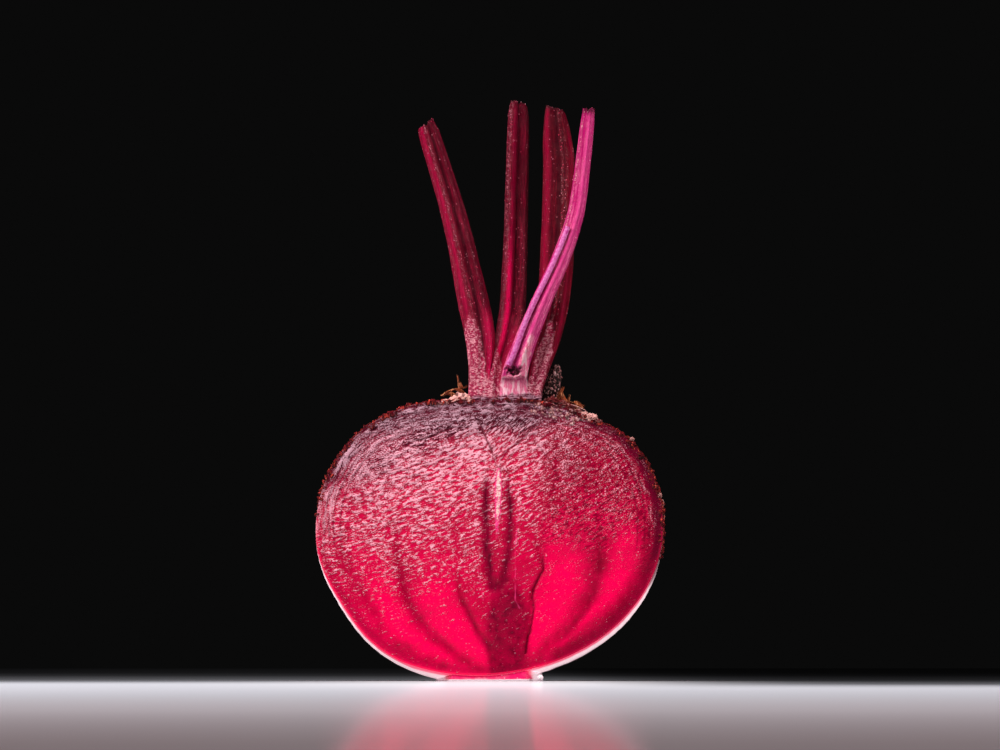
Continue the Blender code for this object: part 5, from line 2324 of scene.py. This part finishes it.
    def light(self, name: str, place: Place, size: float, power: float, gloss: bool) -> None:
        """Adds one soft light.

        Args:
            name: Name of the light.
            place: Where it hangs, in metres.
            size: Side of its square panel, in metres.
            power: Power in watts.
            gloss: True where it also shows as a highlight.
        """
        data = bpy.data.lights.new(name, "AREA")
        data.size = size
        data.energy = power
        lamp = place_object(name, data)
        lamp.location = place
        way = np.array(self.aim) - np.array(place)
        lamp.rotation_euler = (
            math.atan2(math.hypot(way[0], way[1]), -way[2]), 0.0, math.atan2(-way[0], way[1])
        )
        lamp.visible_camera = False
        lamp.visible_glossy = gloss

    def build(self) -> None:
        """Sets up floor, light, background and camera."""
        self.camera()
        self.floor()
        for light in self.lights:
            self.light(*light)
        world = bpy.data.worlds.new("dark_room")
        world.use_nodes = True
        world.node_tree.nodes["Background"].inputs[0].default_value = (*self.background, 1.0)
        bpy.context.scene.world = world
        bpy.context.scene.view_settings.view_transform = "Standard"
        LOG.info("studio ready")


def stalk_pieces() -> list[LeafStalk]:
    """Lists the four leaf stalks with their stations and streaks.

    Returns:
        The stalks, from left to right.
    """
    frost, dark, bright = Streak.FROST, Streak.DARK, Streak.BRIGHT
    left = LeafStalk(
        "stalk_left", "petiole_left", Slot.CRIMSON,
        (
            (-2.1, -3.6, 58.5, 4.6, 6.0), (-2.0, -3.4, 63.6, 4.5, 5.6), (-1.7, -2.6, 69.0, 5.4, 5.2),
            (-1.9, -1.9, 74.0, 6.2, 4.9), (-3.4, -0.2, 81.9, 6.4, 4.6), (-7.5, 3.4, 100.3, 5.2, 4.0),
            (-12.4, 6.0, 116.6, 4.6, 3.5), (-13.3, 6.5, 119.6, 4.0, 3.0), (-13.6, 6.7, 120.7, 3.2, 2.4),
        ),
        0.10, 0.36, 0.05, 0.0003, 0.50,
        (
            (frost, -0.32, 0.15, 0.12, 0.98, 0.95), (dark, 0.12, 0.19, 0.05, 0.97, 0.95),
            (bright, -0.70, 0.22, 0.1, 0.95, 0.45), (frost, -0.90, 0.06, 0.2, 0.7, 0.35),
            (bright, 0.68, 0.30, 0.0, 0.45, 0.95), (dark, -0.52, 0.06, 0.1, 0.9, 0.45),
            (dark, 0.66, 0.30, 0.45, 0.99, 0.75), (frost, 0.56, 0.04, 0.2, 0.8, 0.4),
        ),
        101,
        pale_rows=(
            (57.0, -4.6, 0.3), (60.9, -4.5, -0.1), (64.1, -4.1, -0.5), (67.7, -4.3, -0.74),
            (71.2, -4.9, -1.5), (75.5, -5.3, -2.2), (78.2, -4.7, -3.6),
        ),
    )
    middle = LeafStalk(
        "stalk_middle", "petiole_middle", Slot.CRIMSON,
        (
            (0.8, -2.9, 58.5, 4.3, 5.4), (1.0, -2.7, 63.6, 4.1, 5.2), (2.5, -1.0, 68.9, 4.5, 4.9),
            (4.1, 1.6, 74.5, 5.4, 4.6), (5.2, 4.8, 82.3, 5.6, 4.2), (5.9, 7.8, 100.7, 5.1, 3.8),
            (6.3, 9.6, 118.6, 4.8, 3.5), (6.4, 10.1, 124.0, 4.2, 3.0), (6.4, 10.3, 125.7, 3.2, 2.4),
        ),
        0.35, 0.32, 0.05, 0.0001, -0.22,
        (
            (frost, -0.88, 0.11, 0.1, 1.0, 0.95), (dark, -0.10, 0.09, 0.1, 1.0, 0.95),
            (dark, 0.80, 0.12, 0.1, 0.9, 0.6), (bright, -0.52, 0.24, 0.0, 0.58, 1.0),
            (bright, -0.50, 0.2, 0.4, 0.90, 0.18), (frost, 0.55, 0.30, 0.15, 0.6, 0.16),
            (bright, 0.35, 0.30, 0.0, 0.4, 0.35),
        ),
        113,
        pale_rows=(
            (57.0, -1.4, 3.0), (60.9, -1.0, 2.8), (65.2, 0.0, 2.4), (68.0, 0.46, 2.6), (70.1, 1.1, 2.2),
            (71.0, 1.4, 1.9),
        ),
    )
    right_back = LeafStalk(
        "stalk_right_back", "petiole_right_back", Slot.CRIMSON,
        (
            (9.5, -3.2, 57.5, 3.2, 5.8), (9.9, -3.0, 62.6, 3.3, 5.4), (11.1, -2.0, 68.2, 4.6, 5.1),
            (12.6, -0.8, 74.0, 5.7, 4.9), (13.9, 1.2, 82.1, 6.6, 4.6), (14.7, 3.6, 91.4, 6.9, 4.4),
            (15.2, 6.8, 109.8, 6.6, 4.0), (14.8, 8.1, 117.8, 5.9, 3.6), (14.4, 8.8, 122.6, 4.5, 2.8),
            (14.3, 9.0, 124.4, 3.4, 2.3),
        ),
        -0.20, 0.30, 0.06, 0.0003, -0.42,
        (
            (frost, 0.36, 0.07, 0.3, 0.97, 0.8), (frost, 0.62, 0.07, 0.25, 0.9, 0.35),
            (dark, 0.10, 0.20, 0.2, 1.0, 0.9), (bright, -0.68, 0.24, 0.1, 0.95, 0.85),
            (dark, 0.50, 0.07, 0.3, 1.0, 0.8), (dark, -0.35, 0.10, 0.2, 1.0, 0.6),
            (bright, 0.86, 0.08, 0.1, 0.8, 0.7),
        ),
        127,
        pale_rows=(
            (57.0, 8.0, 11.2), (60.6, 8.2, 11.1), (64.1, 8.8, 11.7), (67.3, 9.5, 12.7), (70.5, 10.4, 13.6),
            (74.4, 12.0, 13.9), (77.2, 13.1, 13.6),
        ),
    )
    right_front = LeafStalk(
        "stalk_right_front", "petiole_right_front", Slot.PINK,
        (
            (5.4, -4.0, 58.5, 6.4, 5.2), (5.4, -4.2, 62.6, 6.2, 5.0), (5.7, -4.8, 66.4, 5.6, 4.5),
            (7.9, -5.6, 72.8, 4.9, 4.0), (11.6, -5.2, 81.9, 4.4, 3.6), (15.5, -3.2, 90.7, 4.1, 3.4),
            (18.6, -1.2, 100.0, 3.8, 3.1), (20.0, 0.4, 109.0, 3.5, 2.8), (21.1, 1.8, 118.4, 3.2, 2.6),
            (21.6, 2.4, 123.4, 2.7, 2.2),
        ),
        -0.60, 0.20, 0.06, 0.0001, -0.02,
        (
            (frost, -0.40, 0.08, 0.5, 1.0, 0.9), (frost, 0.28, 0.05, 0.25, 0.95, 0.4),
            (dark, -0.30, 0.10, 0.0, 0.62, 1.0), (bright, 0.65, 0.25, 0.1, 0.95, 0.8),
            (dark, 0.05, 0.05, 0.4, 0.95, 0.35), (dark, 0.45, 0.04, 0.3, 0.95, 0.35),
        ),
        131, sliced_below=64.9, notch=(5.2, -6.9, 66.3),
        pale_rows=(
            (57.0, 2.0, 8.6), (60.6, 2.1, 8.5), (64.6, 2.3, 8.5), (65.2, 3.0, 8.5), (66.0, 6.3, 8.5),
            (68.0, 6.5, 8.6), (70.5, 7.1, 9.1), (73.3, 8.6, 9.4), (74.0, 8.9, 9.3),
        ),
    )
    return [left, middle, right_back, right_front]


def scale_pieces() -> list[DryScales]:
    """Lists the two tufts of dry scales.

    Returns:
        The left tuft and the right tuft.
    """
    left = DryScales(
        "scales_left",
        (
            PaperStrip(
                ((-5.0, -2.6, 61.4), (-6.6, -3.2, 62.6), (-8.4, -3.5, 62.3), (-10.2, -3.3, 61.2)), 1.0, 0.9,
                0.5, 0.9, 201
            ),
            PaperStrip(((-6.0, -1.6, 61.6), (-6.4, -1.6, 63.6), (-6.7, -1.4, 65.3)), 0.9, 0.5, 0.2, 1.1, 202),
            PaperStrip(
                ((-6.3, -2.0, 63.9), (-5.6, -2.1, 63.0), (-4.8, -2.0, 63.3)), 0.9, 0.6, -0.3, 0.9, 203
            ),
            PaperStrip(
                ((-6.9, -0.8, 60.8), (-8.4, -0.6, 61.7), (-9.4, -0.2, 61.9)), 1.2, 0.7, -0.3, 0.7, 204
            ),
        ),
        (-6.6, -1.4, 60.6), (1.7, 2.0, 0.9),
    )
    right = DryScales(
        "scales_right",
        (
            PaperStrip(
                ((17.6, -2.6, 57.9), (16.4, -3.0, 59.9), (15.6, -3.0, 61.7), (16.0, -2.8, 62.9)), 1.7, 0.8,
                0.1, 0.9, 211
            ),
            PaperStrip(((17.0, -2.4, 59.0), (18.4, -2.8, 59.6), (20.2, -3.0, 58.6)), 1.4, 1.1, 0.3, 0.8, 212),
            PaperStrip(
                ((16.6, -0.4, 58.2), (16.9, -0.4, 60.0), (17.3, -0.6, 61.2)), 1.4, 0.6, -0.4, 0.8, 213
            ),
            PaperStrip(((19.0, -1.6, 57.2), (19.6, -1.6, 58.4), (19.2, -1.8, 59.1)), 1.3, 0.6, 0.5, 1.0, 214),
            PaperStrip(((15.8, -1.8, 58.6), (15.0, -2.4, 60.6), (15.2, -2.5, 62.3)), 1.3, 0.5, 0.0, 1.0, 215),
        ),
        (17.8, -1.6, 58.4), (2.0, 2.2, 1.2),
    )
    return [left, right]


STRANDS = (
    (
        "stalk_rib",
        (
            (17.0, -3.6, 97.4), (15.3, -4.5, 93.0), (12.6, -6.0, 86.9), (10.2, -6.8, 82.0), (8.3, -7.1, 77.8),
            (6.7, -7.1, 73.6), (5.5, -7.0, 70.2), (4.2, -6.7, 67.6),
        ),
        170, 0.00056, -0.10, 0.00016, "rib", Slot.PINK,
    ),
    (
        "side_rootlet", ((36.9, -6.0, 36.9), (37.4, -6.2, 37.7), (37.35, -6.3, 38.5), (36.9, -6.2, 38.9)), 40,
        0.00009, 0.5, 0.00006, "crust", Slot.ROOT
    ),
    (
        "low_rootlet", ((37.0, -4.2, 33.6), (37.5, -4.4, 34.4), (37.7, -4.6, 35.6)), 40, 0.00008, 0.6,
        0.00006, "crust", Slot.ROOT
    ),
    (
        "crown_fibre_left", ((-5.2, -4.0, 60.2), (-6.8, -4.4, 60.5), (-8.6, -4.6, 60.0)), 50, 0.00012, 0.6,
        0.00012, "crust", Slot.ROOT
    ),
    (
        "crown_fibre_right", ((16.2, -4.0, 59.4), (18.6, -4.5, 58.9), (20.8, -4.8, 57.9)), 50, 0.00012, 0.6,
        0.00012, "crust", Slot.ROOT
    ),
)


def stalk_finishes() -> dict[str, StalkFinish]:
    """Lists the finishes of the leaf stalks.

    Returns:
        Finishes by the name of the stalk.
    """
    return {
        "stalk_left": StalkFinish(
            "crimson_stalk_skin", (0.155, 0.001, 0.013), (0.36, 0.007, 0.040), (0.040, 0.001, 0.005),
            bright=(0.52, 0.001, 0.056)
        ),
        "stalk_middle": StalkFinish(
            "dark_stalk_skin", (0.11, 0.001, 0.010), (0.26, 0.005, 0.028), (0.026, 0.001, 0.004),
            bright=(0.84, 0.001, 0.090)
        ),
        "stalk_right_back": StalkFinish(
            "ruddy_stalk_skin", (0.11, 0.001, 0.009), (0.25, 0.005, 0.020), (0.030, 0.001, 0.004),
            frost=(0.26, 0.12, 0.12),
            bright=(0.28, 0.001, 0.026),
        ),
        "stalk_right_front": StalkFinish(
            "pink_stalk_skin", (0.50, 0.006, 0.14), (0.88, 0.17, 0.36), (0.30, 0.002, 0.070),
            frost=(0.74, 0.36, 0.34),
            bright=(0.72, 0.06, 0.25), sliced=(1.0, 0.54, 0.62), sliced_trough=(0.88, 0.17, 0.31),
            net_length=0.25,
        ),
    }


def grow_stalks(plane: CutPlane, effects: Effects) -> list[tuple[LeafStalk, Piece]]:
    """Builds the leaf stalks.

    Args:
        plane: Plane of the cut face.
        effects: Shared effects.

    Returns:
        Each stalk with its piece.
    """
    finishes, grown = stalk_finishes(), []
    for stalk in stalk_pieces():
        made = stalk.build(plane, finishes[stalk.name].build(effects))
        hold(made, stalk.node)
        grown.append((stalk, made))
    return grown


def crown_finishes(effects: Effects) -> dict[str, Material]:
    """Makes the materials of the stub, the scales, the crumbs and the wet foot.

    Args:
        effects: Shared effects.

    Returns:
        Materials by a short name.
    """
    bark = DryFinish(
        "withered_bark_skin", (0.004, 0.002, 0.002), (0.016, 0.005, 0.005), (0.10, 0.040, 0.030),
        ash_share=0.03,
    ).build(effects)
    paper = DryFinish(
        "papery_scale", (0.022, 0.005, 0.003), (0.27, 0.050, 0.016), (0.84, 0.36, 0.18), ash_share=0.03,
        scale=1100.0
    ).build(effects)
    crust = GlossFinish(
        "crown_cork", (0.10, 0.006, 0.008), (0.84, 0.40, 0.36), scale=1400.0, rough=0.5, coat=0.0,
        tone_range=(0.45, 1.05),
    ).build(effects)
    crumb = DryFinish(
        "corky_crumb", (0.008, 0.001, 0.002), (0.13, 0.003, 0.008), (0.74, 0.075, 0.045), ash_share=0.02,
        scale=1100.0,
    ).build(effects)
    chaff = DryFinish(
        "stub_chaff", (0.020, 0.004, 0.004), (0.46, 0.17, 0.17), (0.96, 0.64, 0.64), ash_share=0.0,
        scale=1900.0,
    ).build(effects)
    grain = GlossFinish(
        "dried_grain", (0.62, 0.03, 0.10), (0.84, 0.36, 0.44), rough=0.4, coat=0.1, tone_range=(0.55, 1.35),
    ).build(effects)
    # hot pink and white-pink: the painted glow of the lit table through the juice
    film = GlossFinish("wet_film", (0.95, 0.010, 0.14), (0.97, 0.80, 0.85), rough=0.12).build(effects)
    return {
        "bark": bark, "paper": paper, "crust": crust, "crumb": crumb, "chaff": chaff, "grain": grain,
        "film": film,
    }


def lay_strands(crust: Material, effects: Effects) -> None:
    """Adds the rib of the front stalk, the rootlets and the crown fibres.

    Args:
        crust: Material of the rootlets and the fibres.
        effects: Shared effects.
    """
    strands = StrandTree()
    rib = GlossFinish(
        "lavender_rib", (0.48, 0.022, 0.21), (0.68, 0.20, 0.47), scale=2200.0, rough=0.45, coat=0.0,
        tone_range=(0.55, 1.0),
    ).build(effects)
    for name, stations, steps, radius, taper, height, finish, slot in STRANDS:
        made = strands.run(name, stations, steps, {
            "Radius": radius, "Taper": taper, "Bead height": height, "Beads per metre": 2400.0,
            "Finish": rib if finish == "rib" else crust,
        })
        hold(made)


def strew_crumbs(
    root: Piece, stub: Piece, grown: Sequence[tuple[LeafStalk, Piece]], finishes: dict[str, Material],
) -> None:
    """Strews granules, dust, scraps, grit and flakes.

    Args:
        root: Half root.
        stub: Withered stub.
        grown: Each leaf stalk with its piece.
        finishes: Materials by a short name.
    """
    grain, chaff, crumb = (finishes[key] for key in ("grain", "chaff", "crumb"))
    granules = Crumbs(
        "dried_granules", "granule_density", 4.0e6, 0.00004, 0.00010, 1.7, 0.55, (0.4, 0.4, 0.25), 3
    )
    dust = Crumbs("dust", "granule_density", 5.0e6, 0.00004, 0.00013, 1.3, 0.7, (0.4, 0.4, 1.0), 31)
    scraps = Crumbs("stub_crumbs", "granule_density", 4.5e6, 0.00008, 0.00034, 1.5, 0.6, (1.5, 1.5, 1.0), 21)
    grit = Crumbs("crown_grit", "grit_density", 3.2e6, 0.00010, 0.00042, 2.0, 0.5, (0.6, 0.6, 1.4), 17)
    flakes = Crumbs("rim_flakes", "flake_density", 4.4e6, 0.00008, 0.00060, 1.8, 0.45, (2.0, 2.0, 1.0), 11)
    strewn = [(granules, root, grain, Slot.ROOT)]
    for number, (stalk, made) in enumerate(grown):
        kind = replace(dust, name=stalk.name + "_dust", seed=dust.seed + number)
        strewn.append((kind, made, grain, stalk.slot))
    strewn += [
        (scraps, stub, chaff, Slot.BARK), (grit, root, chaff, Slot.ROOT), (flakes, root, crumb, Slot.ROOT)
    ]
    scatter = ScatterTree("strewn_crumbs")
    for crumbs, carrier, finish, slot in strewn:
        hold(scatter.strew(crumbs, carrier, finish))


def main() -> None:
    """Builds every piece in order and reports it."""
    logging.basicConfig(level=logging.INFO, format="%(name)s: %(message)s")
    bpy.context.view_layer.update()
    Studio().build()
    effects = Effects()
    plane = CutPlane()
    flesh = FleshFinish().build(effects)
    skin = SkinFinish().build(effects)
    half = HalfRoot(plane)
    root = half.build(flesh, skin)
    hold(root, "root_half")
    grown = grow_stalks(plane, effects)
    finishes = crown_finishes(effects)
    stub = WitheredStub().build(finishes["bark"])
    hold(stub, "withered_stub")
    for tuft, node in zip(scale_pieces(), ("dry_scales_left", "dry_scales_right")):
        hold(tuft.build(finishes["paper"]), node)
    hold(WetFoot().build(half, finishes["film"]))
    hold(CrownCrust().build(finishes["crust"]))
    lay_strands(finishes["crust"], effects)
    strew_crumbs(root, stub, grown, finishes)


if __name__ == "__main__":
    main()
